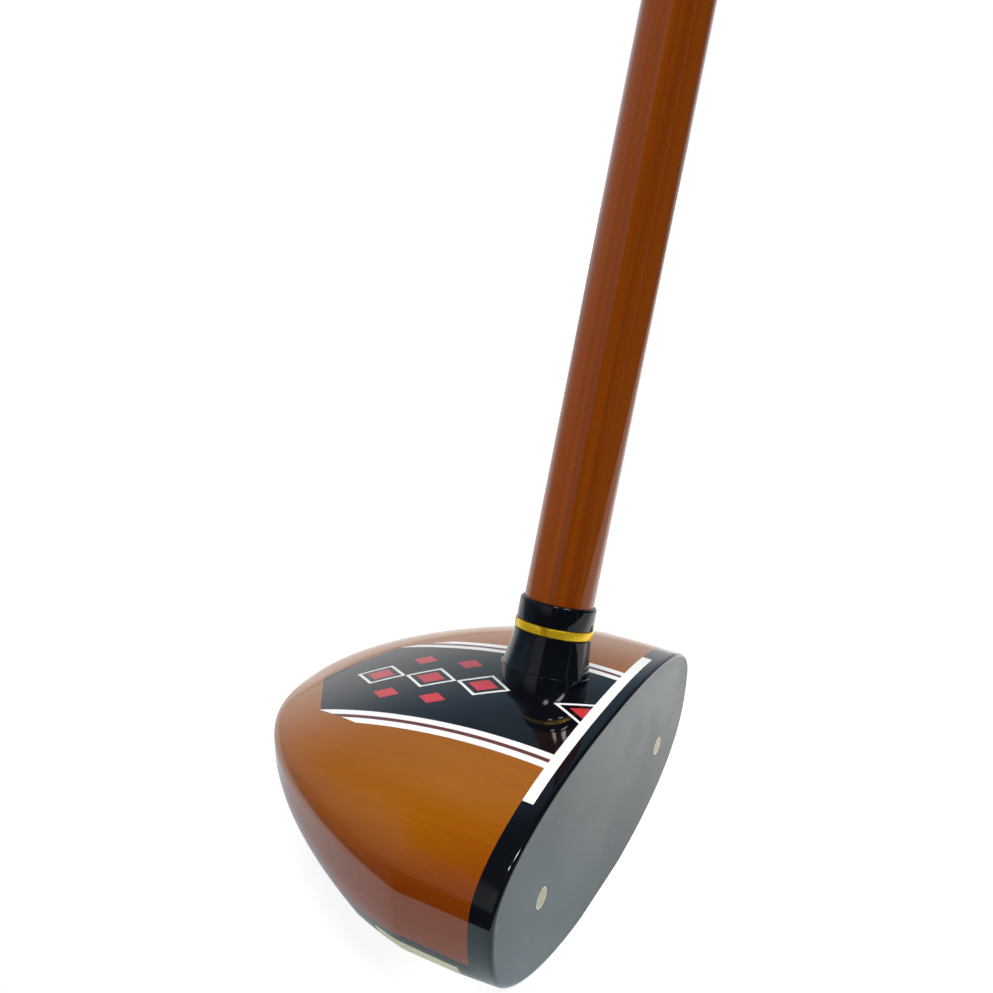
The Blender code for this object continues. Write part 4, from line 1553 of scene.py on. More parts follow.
@dataclass
class SolePlate:
    """Curved brass plate let into the sole, its countersunk screws and the weights above it.

    A screw head's rim is points, each with its distance in from the head's radius and its drop
    below the head's top.
    """

    form: HeadForm
    thickness: float = 0.0020
    front: float = 0.0100
    length: float = 0.0240
    end_rise: float = 0.0220
    edge: float = 0.00025
    edge_segments: int = 2
    edge_angle: float = math.radians(50)
    gap: float = 0.00010
    pocket_reach: float = 0.004
    screw_spacing: float = 0.0444
    screw_edge_distance: float = 0.0048
    screw_head_radius: float = 0.0032
    screw_head_depth: float = 0.0016
    screw_head_rim: tuple[Point, ...] = ((0.0, 0.0002), (0.0001, 0.00005), (0.0004, 0.0))
    screw_shank_radius: float = 0.0015
    screw_length: float = 0.0130
    screw_point: float = 0.002
    screw_sink: float = 0.0002
    screw_sides: int = 48
    hole_clearance: float = 0.0001
    hole_reach: float = 0.002
    recess_length: float = 0.0036
    recess_width: float = 0.0009
    recess_depth: float = 0.0011
    spin_seed: int = 3
    spin_limit: float = 3.0
    columns: int = 96
    rows: int = 12

    def shell(self, name: str, margin: float, out_depth: float, in_depth: float) -> Mesh:
        """Bend a plate to the sole.

        Args:
            name: The mesh's name.
            margin: What is added to the plate's outline all round.
            out_depth: Distance of its outer side inside the sole.
            in_depth: Distance of its inner side inside the sole.

        Returns:
            The mesh.
        """
        bm = bmesh.new()
        grids = []
        for inside in (out_depth, in_depth):
            grid = []
            for row in range(self.rows + 1):
                share = row / self.rows
                depth = self.front - margin + (self.length + 2.0 * margin) * share
                reach = self.form.plate_reach(self.end_rise, depth)
                reach += margin / self.form.half_width(depth)
                turns = (math.pi * (step / self.columns - 0.5) for step in range(self.columns + 1))
                places = (reach * math.sin(turn) for turn in turns)
                line = [self.form.sole_point(place, depth, inside)[0] for place in places]
                grid.append([bm.verts.new(point) for point in line])
            grids.append(grid)
        for grid in grids:
            self._join(bm, grid)
        outer, inner = grids
        self._join(bm, [outer[0], inner[0]])
        self._join(bm, [outer[-1], inner[-1]])
        for column in (0, -1):
            self._join(bm, [[line[column] for line in outer], [line[column] for line in inner]])
        return smooth_mesh(name, bm)

    @staticmethod
    def _join(bm: bmesh.types.BMesh, rows: Sequence[Sequence[bmesh.types.BMVert]]) -> None:
        """Fill the faces between rows of points.

        Args:
            bm: The bmesh that holds the points.
            rows: The rows.
        """
        for row, following in zip(rows, rows[1:]):
            for step in range(len(row) - 1):
                bm.faces.new((row[step], row[step + 1], following[step + 1], following[step]))

    def pocket(self) -> Mesh:
        """Cutter of the plate's pocket in the head."""
        return self.shell("sole_pocket", self.gap, -self.pocket_reach, self.thickness + self.gap)

    def screw_frames(self) -> list[Matrix]:
        """Find where the screws sit.

        Returns:
            Matrix of each screw, whose +Z points out of the sole.
        """
        back = self.front + self.length
        frames = []
        for depth in (self.front + self.screw_edge_distance, back - self.screw_edge_distance):
            for x in (-self.screw_spacing, 0.0, self.screw_spacing):
                point, outward = self.form.sole_point(x / self.form.half_width(depth), depth)
                turn = outward.to_track_quat("Z", "Y").to_matrix().to_4x4()
                frames.append(Matrix.Translation(point) @ turn)
        return frames

    def build(self, palette: Palette) -> None:
        """Build the plate and the screws, and dress the weights.

        Args:
            palette: The club's materials.
        """
        plate = temporary(self.shell("brass_sole_plate", 0.0, 0.0, self.thickness))
        bevel = plate.modifiers.new("edge", "BEVEL")
        bevel.width = self.edge
        bevel.segments = self.edge_segments
        bevel.angle_limit = self.edge_angle
        mesh = evaluated_mesh(plate)
        bpy.data.objects.remove(plate, do_unlink=True)
        outline = self._outline(self.hole_clearance)
        frames = self.screw_frames()
        holes = [turned("countersink", outline, place, self.screw_sides) for place in frames]
        show("brass_sole_plate", carved(mesh, holes), palette.brass, ["sole_plate"])
        nodes = [f"sole_screw_{number}" for number in range(1, len(frames) + 1)]
        show("sole_screws", self._screws(palette), None, nodes)
        for side in ("toe", "heel"):
            dress(f"balance_weight_{side}", palette.turned_brass)

    def _outline(self, clearance: float) -> list[Point]:
        """Draw a countersunk screw whose head is up, or its hole.

        Args:
            clearance: What the hole is wider by; the screw itself has none.

        Returns:
            Points of the profile.
        """
        head = self.screw_head_radius + clearance
        shank = self.screw_shank_radius + clearance
        top = -self.screw_sink
        profile = [(0.0, -self.screw_length), (shank, self.screw_point - self.screw_length)]
        profile.append((shank, top - self.screw_head_depth))
        if clearance:
            return profile + [(head, top), (head, self.hole_reach), (0.0, self.hole_reach)]
        rim = [(head - inward, top - drop) for inward, drop in self.screw_head_rim]
        return profile + rim + [(0.0, top)]

    def _blank(self) -> Mesh:
        """Make one screw with a cross recess.

        Returns:
            The screw, with its head at the origin.
        """
        recess = []
        sizes = (self.recess_length, self.recess_width)
        for length, width in (sizes, sizes[::-1]):
            bm = bmesh.new()
            bmesh.ops.create_cube(bm, size=1.0)
            bmesh.ops.scale(bm, vec=(length, width, 2.0 * self.recess_depth), verts=bm.verts)
            bmesh.ops.translate(bm, vec=(0.0, 0.0, -self.screw_sink), verts=bm.verts)
            recess.append(smooth_mesh("recess", bm))
        screw = turned("screw", self._outline(0.0), Matrix.Identity(4), self.screw_sides)
        return carved(screw, recess)

    def _screws(self, palette: Palette) -> Mesh:
        """Set one screw in each place with Geometry Nodes, each turned its own way.

        Args:
            palette: The club's materials.

        Returns:
            All the screws as one mesh.
        """
        links = {"Screw": "NodeSocketObject", "Finish": "NodeSocketMaterial"}
        recipe = Recipe("set screws", {"Seed": self.spin_seed}, links)
        sheet, coming = recipe.sheet, recipe.coming
        points = sheet.out("GeometryNodeMeshToPoints", {0: coming["Base"]})
        feeds = {"Name": "outward"}
        outward = sheet.out("GeometryNodeInputNamedAttribute", feeds, data_type="FLOAT_VECTOR")
        turn = sheet.out("FunctionNodeAlignRotationToVector", {"Vector": outward}, axis="Z")
        screw = sheet.put("GeometryNodeObjectInfo", {"Object": coming["Screw"]})
        feeds = {"Points": points, "Instance": screw.outputs["Geometry"], "Rotation": turn}
        set_screws = sheet.out("GeometryNodeInstanceOnPoints", feeds)
        feeds = {2: 0.0, 3: self.spin_limit, 8: coming["Seed"]}
        spin = sheet.put("FunctionNodeRandomValue", feeds).outputs[1]
        feeds = {"Instances": set_screws, "Rotation": sheet.out("ShaderNodeCombineXYZ", {2: spin})}
        recipe.finish(sheet.out("GeometryNodeRotateInstances", feeds))

        places = self.screw_frames()
        base = bpy.data.meshes.new("screw_places")
        base.from_pydata([place.translation for place in places], [], [])
        ways = base.attributes.new("outward", "FLOAT_VECTOR", "POINT")
        for item, place in zip(ways.data, places):
            item.vector = place.to_3x3() @ Vector(UP)
        blank = temporary(self._blank())
        values = {"Screw": blank, "Finish": palette.steel, "Seed": self.spin_seed}
        mesh = recipe.run(base, values)
        bpy.data.objects.remove(blank, do_unlink=True)
        return mesh


@dataclass(frozen=True)
class ShaftLine:
    """The shaft's axis and taper, which the ferrule and the grip share."""

    form: HeadForm
    neck: Point = (0.0104, 0.0258)
    lean: float = math.radians(18.8)
    club_length: float = 0.8350
    seat_depth: float = 0.0360
    cap_height: float = 0.0050
    gap: float = 0.0003
    tip_radius: float = 0.0100
    butt_radius: float = 0.0104

    @property
    def frame(self) -> Matrix:
        """Matrix from the shaft's frame, whose origin is on the crown, to the club's."""
        start = Matrix.Translation(self.form.crown_point(*self.neck))
        return start @ Matrix.Rotation(self.lean, 4, "Y")

    @property
    def butt(self) -> float:
        """Height of the club's end along the axis."""
        return self.club_length - self.form.crown_point(*self.neck).z / math.cos(self.lean)

    @property
    def top(self) -> float:
        """Height of the tube's upper end."""
        return self.butt - self.cap_height - self.gap

    def radius(self, height: float) -> float:
        """Outer radius of the tube at a height."""
        share = (height + self.seat_depth) / (self.top + self.seat_depth)
        return self.tip_radius + (self.butt_radius - self.tip_radius) * share


@dataclass
class Shaft:
    """Lacquered tube with its two hidden plugs."""

    line: ShaftLine
    sides: int = 128
    stations: int = 33

    def build(self, palette: Palette) -> None:
        """Sweep the tapered tube along its axis with Geometry Nodes and dress the plugs.

        Args:
            palette: The club's materials.
        """
        line = self.line
        sizes = {
            "Length": line.top + line.seat_depth,
            "Tip Radius": line.tip_radius,
            "Butt Radius": line.butt_radius,
            "Sides": self.sides,
        }
        recipe = Recipe("tapered tube", sizes, {"Finish": "NodeSocketMaterial"})
        sheet, coming = recipe.sheet, recipe.coming
        end = sheet.out("ShaderNodeCombineXYZ", {2: coming["Length"]})
        axis = sheet.out("GeometryNodeCurvePrimitiveLine", {"End": end})
        axis = sheet.out("GeometryNodeResampleCurve", {"Curve": axis, "Count": self.stations})
        along = sheet.put("GeometryNodeSplineParameter").outputs["Factor"]
        radius = sheet.blend(along, coming["Tip Radius"], coming["Butt Radius"])
        feeds = {"Resolution": coming["Sides"], "Radius": 1.0}
        section = sheet.out("GeometryNodeCurvePrimitiveCircle", feeds)
        feeds = {"Curve": axis, "Profile Curve": section, "Scale": radius, "Fill Caps": True}
        recipe.finish(sheet.out("GeometryNodeCurveToMesh", feeds))
        place = line.frame @ Matrix.Translation((0.0, 0.0, -line.seat_depth))
        values = {**sizes, "Finish": palette.shaft}
        mesh = recipe.run(bpy.data.meshes.new("shaft_base"), values, place)
        show("shaft_tube", mesh, None, ["shaft"])
        for node in ("tip_plug", "butt_plug"):
            dress(node, palette.wood)


@dataclass
class Ferrule:
    """Black sleeve in the crown, gold ring and black collar round the shaft."""

    line: ShaftLine
    foot_radius: float = 0.01295
    top_radius: float = 0.01105
    seat_depth: float = 0.0056
    base_height: float = 0.0118
    flare_power: float = 1.6
    flare_steps: int = 24
    lip_height: float = 0.0011
    lip_stand: float = 0.00022
    ring_height: float = 0.0026
    ring_stand: float = 0.0002
    ring_shift: float = 0.00015
    ring_trim: float = 0.00055
    collar_height: float = 0.0056
    collar_edge: float = 0.0008
    collar_steps: int = 8
    seam: float = 0.00005
    sides: int = 128

    def build(self, palette: Palette) -> None:
        """Build the three pieces, stacked along the shaft.

        Args:
            palette: The club's materials.
        """
        gap, top, axis = self.line.gap, self.top_radius, self.line.frame
        bore = self.line.radius(self.base_height) + gap
        sleeve = turned("ferrule_sleeve", self._base(bore), axis, self.sides)
        show("ferrule_sleeve", sleeve, palette.ferrule, ["ferrule_base"])

        low = self.base_height - self.ring_shift + self.seam
        high = self.base_height + gap + self.ring_height - self.ring_trim
        outer = top + self.ring_stand
        profile = [(bore, low), (outer - FINE_EDGE, low)]
        for height, upper in ((low, False), (high, True)):
            profile += corner(outer, height, FINE_EDGE, upper, FINE_STEPS)
        ring = turned("gold_ring", [*profile, (bore, high)], axis, self.sides)
        show("gold_ring", ring, palette.gold, ["ferrule_ring"])

        low = high + self.seam
        high = self.base_height + 2.0 * gap + self.ring_height + self.collar_height
        profile = [(bore, low), *corner(top, low, FINE_EDGE, False, FINE_STEPS)]
        profile += corner(top, high, self.collar_edge, True, self.collar_steps)
        collar = turned("ferrule_top", [*profile, (bore, high)], axis, self.sides)
        show("ferrule_top", collar, palette.ferrule, ["ferrule_collar"])

    def _base(self, bore: float) -> list[Point]:
        """Draw the sleeve: a low lip on the crown, then a flare that narrows upwards.

        Args:
            bore: Radius of its bore.

        Returns:
            Points of the profile.
        """
        profile = [(bore, -self.seat_depth), (self.foot_radius, -self.seat_depth)]
        top = self.base_height - self.ring_shift
        profile += corner(self.foot_radius, self.lip_height, self.lip_stand, True, FINE_STEPS)
        reach = self.foot_radius - self.lip_stand - self.top_radius
        for step in range(self.flare_steps + 1):
            share = step / self.flare_steps
            height = self.lip_height + (top - self.lip_height - FINE_EDGE) * share
            flare = reach * (1.0 - height / self.base_height) ** self.flare_power
            profile.append((self.top_radius + flare, height))
        profile += corner(self.top_radius, top, FINE_EDGE, True, FINE_STEPS)
        return profile + [(bore, top)]


@dataclass
class Grip:
    """Rubber sleeve with raised lozenges, its mouth ring, butt cap and cloth underlay.

    The groove in the cap's end is points, each with its distance out from the groove's middle
    and its depth.
    """

    line: ShaftLine
    length: float = 0.2550
    mouth_radius: float = 0.0123
    butt_radius: float = 0.01409
    underlay: float = 0.0006
    groove_depth: float = 0.0005
    groove_width: float = 0.0016
    groove_count: int = 3
    groove_pitch: float = 0.0070
    groove_steps: int = 12
    edge: float = 0.0008
    ring_height: float = 0.0060
    ring_wall: float = 0.0018
    ring_edge: float = 0.0009
    cap_edge: float = 0.0018
    cap_steps: int = 10
    cap_groove_share: float = 0.6
    cap_groove: tuple[Point, ...] = (
        (0.0006, 0.0),
        (0.0002, 0.0003),
        (-0.0002, 0.0003),
        (-0.0006, 0.0),
    )
    spigot_length: float = 0.0080
    spigot_inset: float = 0.0033
    pad_rows: int = 34
    pads_round: int = 12
    pad_pitch: float = 0.0063
    pad_height: float = 0.00032
    pad_half_width: float = 0.0018
    pad_half_length: float = 0.0027
    pad_top_share: float = 0.72
    pad_sink: float = 0.0001

    def build(self, palette: Palette) -> None:
        """Build the sleeve, its lozenges, the ring and the cap, and dress the underlay.

        Args:
            palette: The club's materials.
        """
        line = self.line
        low = line.top - self.length
        mouth = low + self.ring_height + line.gap
        bore = line.radius(line.top) + 2.0 * line.gap + self.underlay
        sleeve = turned("grip_sleeve", self._sleeve(bore, mouth), line.frame)
        show("grip_sleeve", sleeve, palette.rubber, ["grip"])
        show("grip_lozenges", self._lozenges(palette, mouth), None, [])
        ring = turned("grip_mouth_ring", self._ring(low), line.frame)
        show("grip_mouth_ring", ring, palette.ferrule, ["grip_ring"])
        cap = turned("butt_cap", self._cap(), line.frame)
        show("butt_cap", cap, palette.rubber, ["grip_cap"])
        dress("grip_underlay", palette.tape)

    def _radius(self, height: float, mouth: float) -> float:
        """Outer radius of the sleeve at a height."""
        share = (height - mouth) / (self.line.top - mouth)
        return self.mouth_radius + (self.butt_radius - self.mouth_radius) * share

    def _sleeve(self, bore: float, mouth: float) -> list[Point]:
        """Draw the sleeve with rounded ends and soft grooves near its mouth.

        Args:
            bore: Radius of its bore.
            mouth: Height of its mouth.

        Returns:
            Points of the profile.
        """
        butt = self.line.top
        profile = [(bore, mouth), *corner(self.mouth_radius, mouth, self.edge, False)]
        for groove in range(1, self.groove_count + 1):
            middle = mouth + groove * self.groove_pitch
            for step in range(self.groove_steps + 1):
                share = step / self.groove_steps
                height = middle + (share - 0.5) * self.groove_width
                dip = self.groove_depth * 0.5 * (1.0 - math.cos(2.0 * math.pi * share))
                profile.append((self._radius(height, mouth) - dip, height))
        return profile + [*corner(self.butt_radius, butt, self.edge, True), (bore, butt)]

    def _ring(self, low: float) -> list[Point]:
        """Draw the ring at the grip's mouth.

        Args:
            low: Height of its lower end.

        Returns:
            Points of the profile.
        """
        high = low + self.ring_height
        bore = self.line.radius(high) + self.line.gap
        outer = bore + self.ring_wall
        profile = [(bore, low), *corner(outer, low, self.ring_edge, False)]
        return profile + [*corner(outer, high, FINE_EDGE, True, FINE_STEPS), (bore, high)]

    def _cap(self) -> list[Point]:
        """Draw the butt cap with its spigot and the fine groove in its end.

        Returns:
            Points of the profile.
        """
        line, outer = self.line, self.butt_radius
        low = line.top - self.spigot_length
        under = line.top + line.gap
        spigot = line.radius(low) - self.spigot_inset
        profile = [(0.0, low), (spigot - self.edge, low), (spigot, low + self.edge)]
        profile += [(spigot, under), (outer - FINE_EDGE, under)]
        profile += corner(outer, under, FINE_EDGE, False, FINE_STEPS)
        profile += corner(outer, line.butt, self.cap_edge, True, self.cap_steps)
        middle = self.cap_groove_share * outer
        profile += [(middle + offset, line.butt - dip) for offset, dip in self.cap_groove]
        return profile + [(0.0, line.butt)]

    def _lozenges(self, palette: Palette, mouth: float) -> Mesh:
        """Set rows of low lozenges round the sleeve with Geometry Nodes.

        Args:
            palette: The club's materials.
            mouth: Height of the sleeve's mouth.

        Returns:
            All the lozenges as one mesh.
        """
        start = mouth + (self.groove_count + 1) * self.groove_pitch
        last = start + self.pad_pitch * (self.pad_rows - 1)
        sizes = {
            "Rows": self.pad_rows,
            "Around": self.pads_round,
            "Start": start,
            "Pitch": self.pad_pitch,
            "First Radius": self._radius(start, mouth),
            "Last Radius": self._radius(last, mouth),
            "Half Width": self.pad_half_width,
            "Half Length": self.pad_half_length,
            "Height": self.pad_height,
        }
        recipe = Recipe("lozenge rows", sizes, {"Finish": "NodeSocketMaterial"})
        sheet, coming = recipe.sheet, recipe.coming
        position, outward = self._pad_places(sheet, coming)
        feeds = {"Count": sheet.product(coming["Rows"], coming["Around"]), "Position": position}
        points = sheet.out("GeometryNodePoints", feeds)
        feeds = {"Primary Axis": outward, "Secondary Axis": UP}
        ways = {"primary_axis": "Z", "secondary_axis": "Y"}
        rotation = sheet.out("FunctionNodeAxesToRotation", feeds, **ways)
        feeds = {"Vertices": 4, "Radius Top": self.pad_top_share, "Radius Bottom": 1.0}
        pad = sheet.out("GeometryNodeMeshCone", {**feeds, "Depth": 1.0})
        shape = {0: coming["Half Width"], 1: coming["Half Length"], 2: coming["Height"]}
        scale = sheet.out("ShaderNodeCombineXYZ", shape)
        feeds = {"Geometry": pad, "Translation": (0.0, 0.0, -self.pad_sink), "Scale": scale}
        pad = sheet.out("GeometryNodeTransform", feeds)
        feeds = {"Points": points, "Instance": pad, "Rotation": rotation}
        recipe.finish(sheet.out("GeometryNodeInstanceOnPoints", feeds))
        base = bpy.data.meshes.new("lozenge_base")
        return recipe.run(base, {**sizes, "Finish": palette.rubber}, self.line.frame)

    @staticmethod
    def _pad_places(sheet: NodeSheet, coming: Any) -> tuple[Socket, Socket]:
        """Work out each lozenge's place from its number; every other row is half a step on.

        Args:
            sheet: The tree's sheet.
            coming: The tree's inputs.

        Returns:
            Its position, and the way out of the sleeve there.
        """
        index, around = sheet.out("GeometryNodeInputIndex"), coming["Around"]
        row = sheet.math("DIVIDE", sheet.math("ADD", index, 0.5), around)
        row = sheet.math("FLOOR", row)
        half_step = sheet.product(sheet.math("MODULO", row, 2.0), 0.5)
        number = sheet.math("SUBTRACT", index, sheet.product(row, around))
        turn = sheet.product(sheet.math("ADD", number, half_step), 2.0 * math.pi)
        angle = sheet.math("DIVIDE", turn, around)
        share = sheet.math("DIVIDE", row, sheet.math("SUBTRACT", coming["Rows"], 1.0))
        radius = sheet.blend(share, coming["First Radius"], coming["Last Radius"])
        feeds = {0: sheet.math("COSINE", angle), 1: sheet.math("SINE", angle)}
        outward = sheet.out("ShaderNodeCombineXYZ", feeds)
        height = sheet.math("MULTIPLY_ADD", row, coming["Pitch"], coming["Start"])
        upward = sheet.out("ShaderNodeCombineXYZ", {2: height})
        feeds = {0: outward, "Scale": radius}
        off_axis = sheet.out("ShaderNodeVectorMath", feeds, operation="SCALE")
        return sheet.vector("ADD", off_axis, upward), outward


class LampKind(Enum):
    """Lamps of the studio.

    Each has its bearing from the back towards the heel and its height, both in degrees, its
    distance and its size in metres, and its power in watts.
    """

    KEY = (150.0, 54.0, 2.2, 1.0, 34.0)
    OVERHEAD = (-118.0, 88.0, 2.4, 1.6, 24.0)
    SIDE = (-62.0, 24.0, 2.0, 1.0, 24.0)


class Patch(Enum):
    """Lit patches of the surroundings, which only gloss and metal show.

    Each has its ramps of the turn and then those of the height, in degrees. A ramp says where it
    starts and ends, and then its two levels where they aren't 0 and 1.
    """

    BACKDROP = (((-85.0, -30.0), (62.0, 35.0)), ((34.0, 8.0, 0.0, 0.57),))
    SOFTBOX = (((-55.0, -25.0), (62.0, 35.0)), ((75.0, 55.0, 0.0, 0.25),))
    CARD = (
        ((-160.0, -157.0), (-135.0, -120.0, 0.32, 0.14), (-45.0, -70.0)),
        ((4.0, 14.0), (55.0, 42.0)),
    )
    GLOW = (((-125.0, -95.0, 0.0, 0.11), (-30.0, -60.0)), ((60.0, 40.0),))

    def light(self, sheet: NodeSheet, turn: Socket, height: Socket) -> Socket:
        """Work out how bright the patch is in a direction.

        Args:
            sheet: The world's sheet.
            turn: The direction's turn in degrees.
            height: Its height in degrees.

        Returns:
            The brightness.
        """
        turns, heights = self.value
        ramps = [sheet.ramp(turn, *ramp) for ramp in turns]
        return sheet.product(*ramps, *(sheet.ramp(height, *ramp) for ramp in heights))


@dataclass
class Studio:
    """White board that the club stands on, soft surroundings, lamps and the photograph's camera.

    The camera looks away from the toe and the face; turns are measured from that way to the heel.
    A ramp is where it starts and ends and then its two levels. A tube is its slant, its middle,
    its start and its end on a ceiling at a height of one.
    """

    azimuth: float = -61.8476
    elevation: float = 20.8471
    roll: float = -2.1835
    eye: Triple = (-0.22084, -0.10210, 0.20792)
    focal_pixels: float = 1021.96
    image_pixels: float = 993.0
    sensor: float = 36.0
    clip_start: float = 0.01
    board_drop: float = 0.0002
    board_edge: float = -0.120
    board_slope: float = 0.27
    board_front: float = -0.45
    board_reach: float = 6.0
    board_roughness: float = 0.9
    board_fibres: Noise = (400.0, 3.0, 0.6)
    board_dark: Colour = (0.56, 0.56, 0.57)
    board_light: Colour = (0.60, 0.60, 0.60)
    cool_white: Colour = (0.40, 0.52, 0.57)
    warm_white: Colour = (0.56, 0.55, 0.53)
    warm_range: Point = (-0.05, 0.06)
    toe_glow: Ramp = (-0.10, -0.06, 0.12, 0.24)
    heel_glow: Ramp = (0.0, 0.12, 0.0, 0.60)
    back_fade: Ramp = (0.02, 0.12, 1.0, 0.35)
    front_fade: Point = (-0.20, -0.10)
    away_start: float = 0.4
    away_white: Ramp = (0.3, 1.2, 0.75, 1.0)
    ambient: float = 0.11
    room: float = 0.03
    slit: Point = (123.0, 127.0)
    slit_strength: float = 0.2
    low_fade: Ramp = (-45.0, -10.0, 0.35, 1.0)
    dim_tint: Colour = (0.60, 1.00, 1.35)
    dim_range: Point = (1.0, 0.1)
    dim_turns: Point = (-130.0, -105.0)
    tubes: tuple[Ramp, ...] = ((0.0, -0.245, -0.26, -0.01), (0.62, -0.335, -0.74, -0.36))
    tube_edge: Point = (0.05, 0.015)
    tube_fade: float = 0.14
    tube_lowest: float = 0.5
    tube_strength: float = 45.0

    def build(self) -> None:
        """Build the whole studio."""
        self._board()
        self._world()
        for kind in LampKind:
            self._lamp(kind)
        self._camera()
        bpy.context.scene.view_settings.view_transform = "Standard"
        LOG.info("studio stands")

    def _camera(self) -> None:
        """Set the camera up from its fitted place, angles and focal length."""
        azimuth, elevation, roll = map(math.radians, (self.azimuth, self.elevation, self.roll))
        level = Vector((math.sin(azimuth), -math.cos(azimuth), 0.0))
        back = math.cos(elevation) * level + Vector((0.0, 0.0, math.sin(elevation)))
        right = (-back).cross(Vector(UP)).normalized()
        down = (-back).cross(right)
        side = math.cos(roll) * right + math.sin(roll) * down
        foot = -math.sin(roll) * right + math.cos(roll) * down
        camera = bpy.data.objects.new("camera", bpy.data.cameras.new("camera"))
        bpy.context.scene.collection.objects.link(camera)
        turn = Matrix((side, -foot, back)).transposed().to_4x4()
        camera.matrix_world = Matrix.Translation(self.eye) @ turn
        camera.data.sensor_width = self.sensor
        camera.data.lens = self.focal_pixels * self.sensor / self.image_pixels
        camera.data.clip_start = self.clip_start
        bpy.context.scene.camera = camera

    def _board(self) -> None:
        """Lay the white board, with an oblique edge beyond the toe."""
        front, reach = self.board_front, self.board_reach
        near, far = (self.board_edge + self.board_slope * y for y in (front, reach))
        corners = [(near, front), (reach, front), (reach, reach), (far, reach)]
        bm = bmesh.new()
        bm.faces.new([bm.verts.new((x, y, -self.board_drop)) for x, y in corners])
        mesh = bpy.data.meshes.new("studio_board")
        bm.to_mesh(mesh)
        bm.free()
        mesh.materials.append(self._board_material())
        board = bpy.data.objects.new("studio_board", mesh)
        bpy.context.scene.collection.objects.link(board)

    def _board_material(self) -> Material:
        """Make the board's card, white for the camera and shaped for what gloss and metal show.

        Returns:
            The material.
        """
        material = bpy.data.materials.new("white board")
        material.use_nodes = True
        sheet = NodeSheet(material.node_tree)
        shader = material.node_tree.nodes["Principled BSDF"]
        shader.inputs["Roughness"].default_value = self.board_roughness
        shader.inputs["Specular IOR Level"].default_value = 0.0
        shader.inputs["Emission Color"].default_value = (*WHITE, 1.0)
        camera, mirrored = self._rays(sheet)
        place = sheet.place()
        x, y, _ = sheet.parts(place)
        fibres = sheet.noise(place, *self.board_fibres)
        white = sheet.mix(fibres, self.board_dark, self.board_light)
        shown = sheet.mix(sheet.ramp(x, *self.warm_range), self.cool_white, self.warm_white)
        sheet.feed(shader.inputs["Base Color"], sheet.mix(mirrored, white, shown))
        heel = sheet.product(sheet.ramp(x, *self.heel_glow), sheet.ramp(y, *self.back_fade))
        glow = sheet.math("ADD", sheet.ramp(x, *self.toe_glow), heel)
        glow = sheet.product(mirrored, glow, sheet.ramp(y, *self.front_fade))
        away = sheet.math("MAXIMUM", sheet.math("SUBTRACT", x, self.away_start), y)
        seen = sheet.product(camera, sheet.ramp(away, *self.away_white))
        sheet.feed(shader.inputs["Emission Strength"], sheet.math("ADD", seen, glow))
        return material

    @staticmethod
    def _rays(sheet: NodeSheet) -> tuple[Socket, Socket]:
        """Tell the kinds of rays apart.

        Args:
            sheet: The sheet of a material or the world.

        Returns:
            Masks of the camera's own rays and of those that gloss, metal and glass send on.
        """
        path = sheet.put("ShaderNodeLightPath").outputs
        mirrored = sheet.either(path["Is Glossy Ray"], path["Is Transmission Ray"])
        return path["Is Camera Ray"], mirrored

    def _world(self) -> None:
        """White for the camera, even for soft light, and shaped for what gloss and metal show."""
        world = bpy.data.worlds.new("studio")
        bpy.context.scene.world = world
        world.use_nodes = True
        sheet = NodeSheet(world.node_tree)
        camera, mirrored = self._rays(sheet)
        rest = sheet.math("SUBTRACT", 1.0, sheet.either(mirrored, camera))
        shown, dim = self._surroundings(sheet)
        strength = sheet.math("MULTIPLY_ADD", mirrored, shown, camera)
        strength = sheet.math("MULTIPLY_ADD", rest, self.ambient, strength)
        background = world.node_tree.nodes["Background"]
        tint = sheet.mix(sheet.product(mirrored, dim), WHITE, self.dim_tint)
        sheet.feed(background.inputs["Color"], tint)
        sheet.feed(background.inputs["Strength"], strength)

    def _surroundings(self, sheet: NodeSheet) -> tuple[Socket, Socket]:
        """Light the patches, the slit and the tubes of an otherwise dark room.

        Args:
            sheet: The world's sheet.

        Returns:
            The brightness in each direction, and how far it takes the cool tint.
        """
        way = sheet.put("ShaderNodeTexCoord").outputs["Generated"]
        azimuth = math.radians(self.azimuth)
        ahead = self._along(sheet, way, (-math.sin(azimuth), math.cos(azimuth), 0.0))
        beside = self._along(sheet, way, (math.cos(azimuth), math.sin(azimuth), 0.0))
        turn = sheet.math("DEGREES", sheet.math("ARCTAN2", beside, ahead))
        height = sheet.math("DEGREES", sheet.math("ARCSINE", sheet.parts(way)[2]))
        patches = [patch.light(sheet, turn, height) for patch in Patch]
        slit = sheet.product(sheet.between(turn, *self.slit), self.slit_strength)
        total = sheet.chain("ADD", [self.room, *patches, slit, self._tubes(sheet, way)])
        total = sheet.product(total, sheet.ramp(height, *self.low_fade))
        dim = sheet.product(sheet.ramp(total, *self.dim_range), sheet.ramp(turn, *self.dim_turns))
        return total, dim

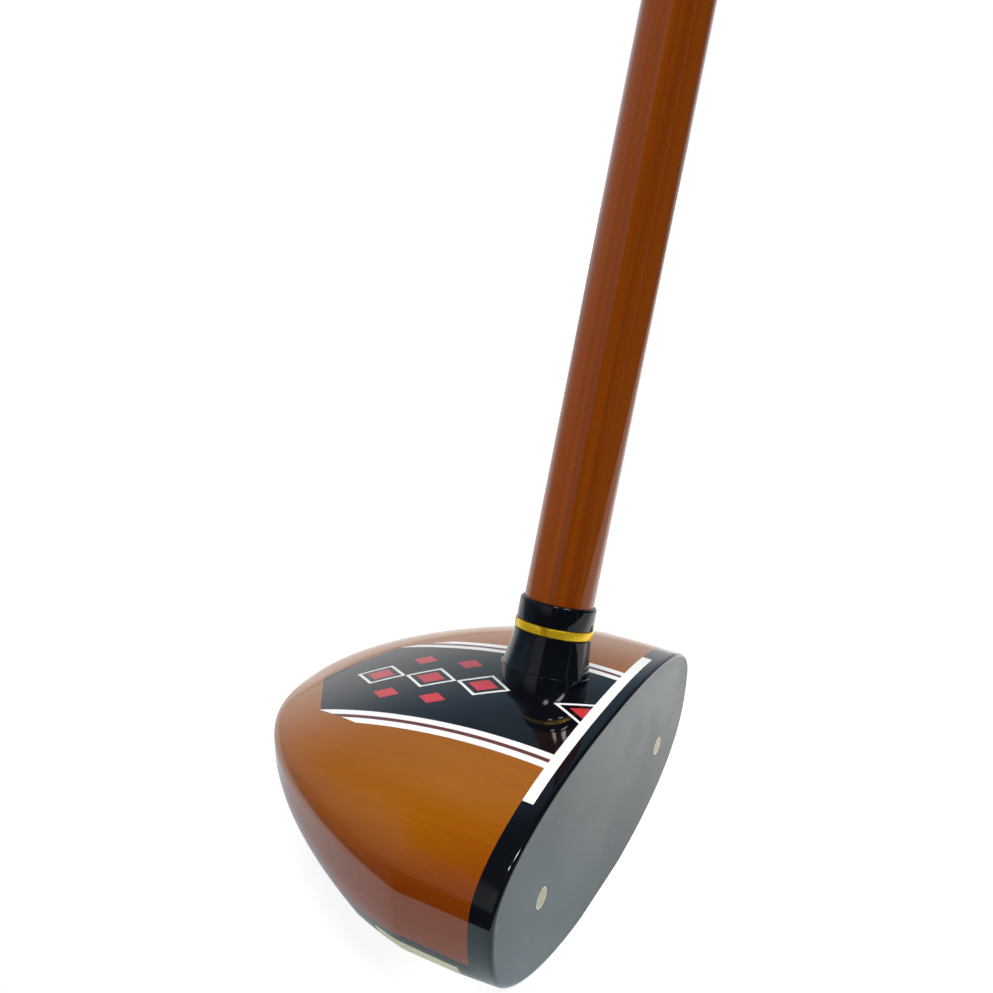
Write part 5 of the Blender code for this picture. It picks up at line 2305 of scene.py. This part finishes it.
    def _tubes(self, sheet: NodeSheet, way: Socket) -> Socket:
        """Light the small tubes on the ceiling.

        Args:
            sheet: The world's sheet.
            way: The direction.

        Returns:
            Their brightness in it.
        """
        x, y, z = sheet.parts(way)
        x, y = sheet.math("DIVIDE", x, z), sheet.math("DIVIDE", y, z)
        tubes = []
        for slant, middle, start, end in self.tubes:
            off = sheet.apart(sheet.math("MULTIPLY_ADD", y, slant, x), middle)
            starts = sheet.ramp(y, start, start + self.tube_fade)
            ends = sheet.ramp(y, end, end - self.tube_fade)
            tubes.append(sheet.product(sheet.ramp(off, *self.tube_edge), starts, ends))
        high = sheet.above(z, self.tube_lowest)
        return sheet.product(sheet.either(*tubes), high, self.tube_strength)

    @staticmethod
    def _along(sheet: NodeSheet, way: Socket, axis: Triple) -> Socket:
        """How far a direction points along an axis."""
        node = sheet.put("ShaderNodeVectorMath", {0: way, 1: axis}, operation="DOT_PRODUCT")
        return node.outputs["Value"]

    def _lamp(self, kind: LampKind) -> None:
        """Hang one soft lamp that looks at the head.

        Args:
            kind: Which lamp it is.
        """
        bearing, height, distance, size, power = kind.value
        bearing, height = math.radians(bearing), math.radians(height)
        level = math.cos(height)
        way = Vector((level * math.sin(bearing), level * math.cos(bearing), math.sin(height)))
        lamp = bpy.data.lights.new(kind.name.lower(), "AREA")
        lamp.shape = "DISK"
        lamp.size = size
        lamp.energy = power
        thing = bpy.data.objects.new(lamp.name, lamp)
        bpy.context.scene.collection.objects.link(thing)
        thing.location = distance * way
        thing.rotation_euler = (-way).to_track_quat("-Z", "Y").to_euler()
        thing.visible_glossy = False


def main() -> None:
    """Build every piece of the club and the studio round it."""
    logging.basicConfig(level=logging.INFO, format="%(name)s: %(message)s")
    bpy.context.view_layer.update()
    form = HeadForm()
    sole = SolePlate(form)
    line = ShaftLine(form)
    palette = Palette.build(line.lean)
    Head(form, sole).build(palette)
    StrikingFace(form).build(palette)
    sole.build(palette)
    Shaft(line).build(palette)
    Ferrule(line).build(palette)
    Grip(line).build(palette)
    Studio().build()


if __name__ == "__main__":
    main()
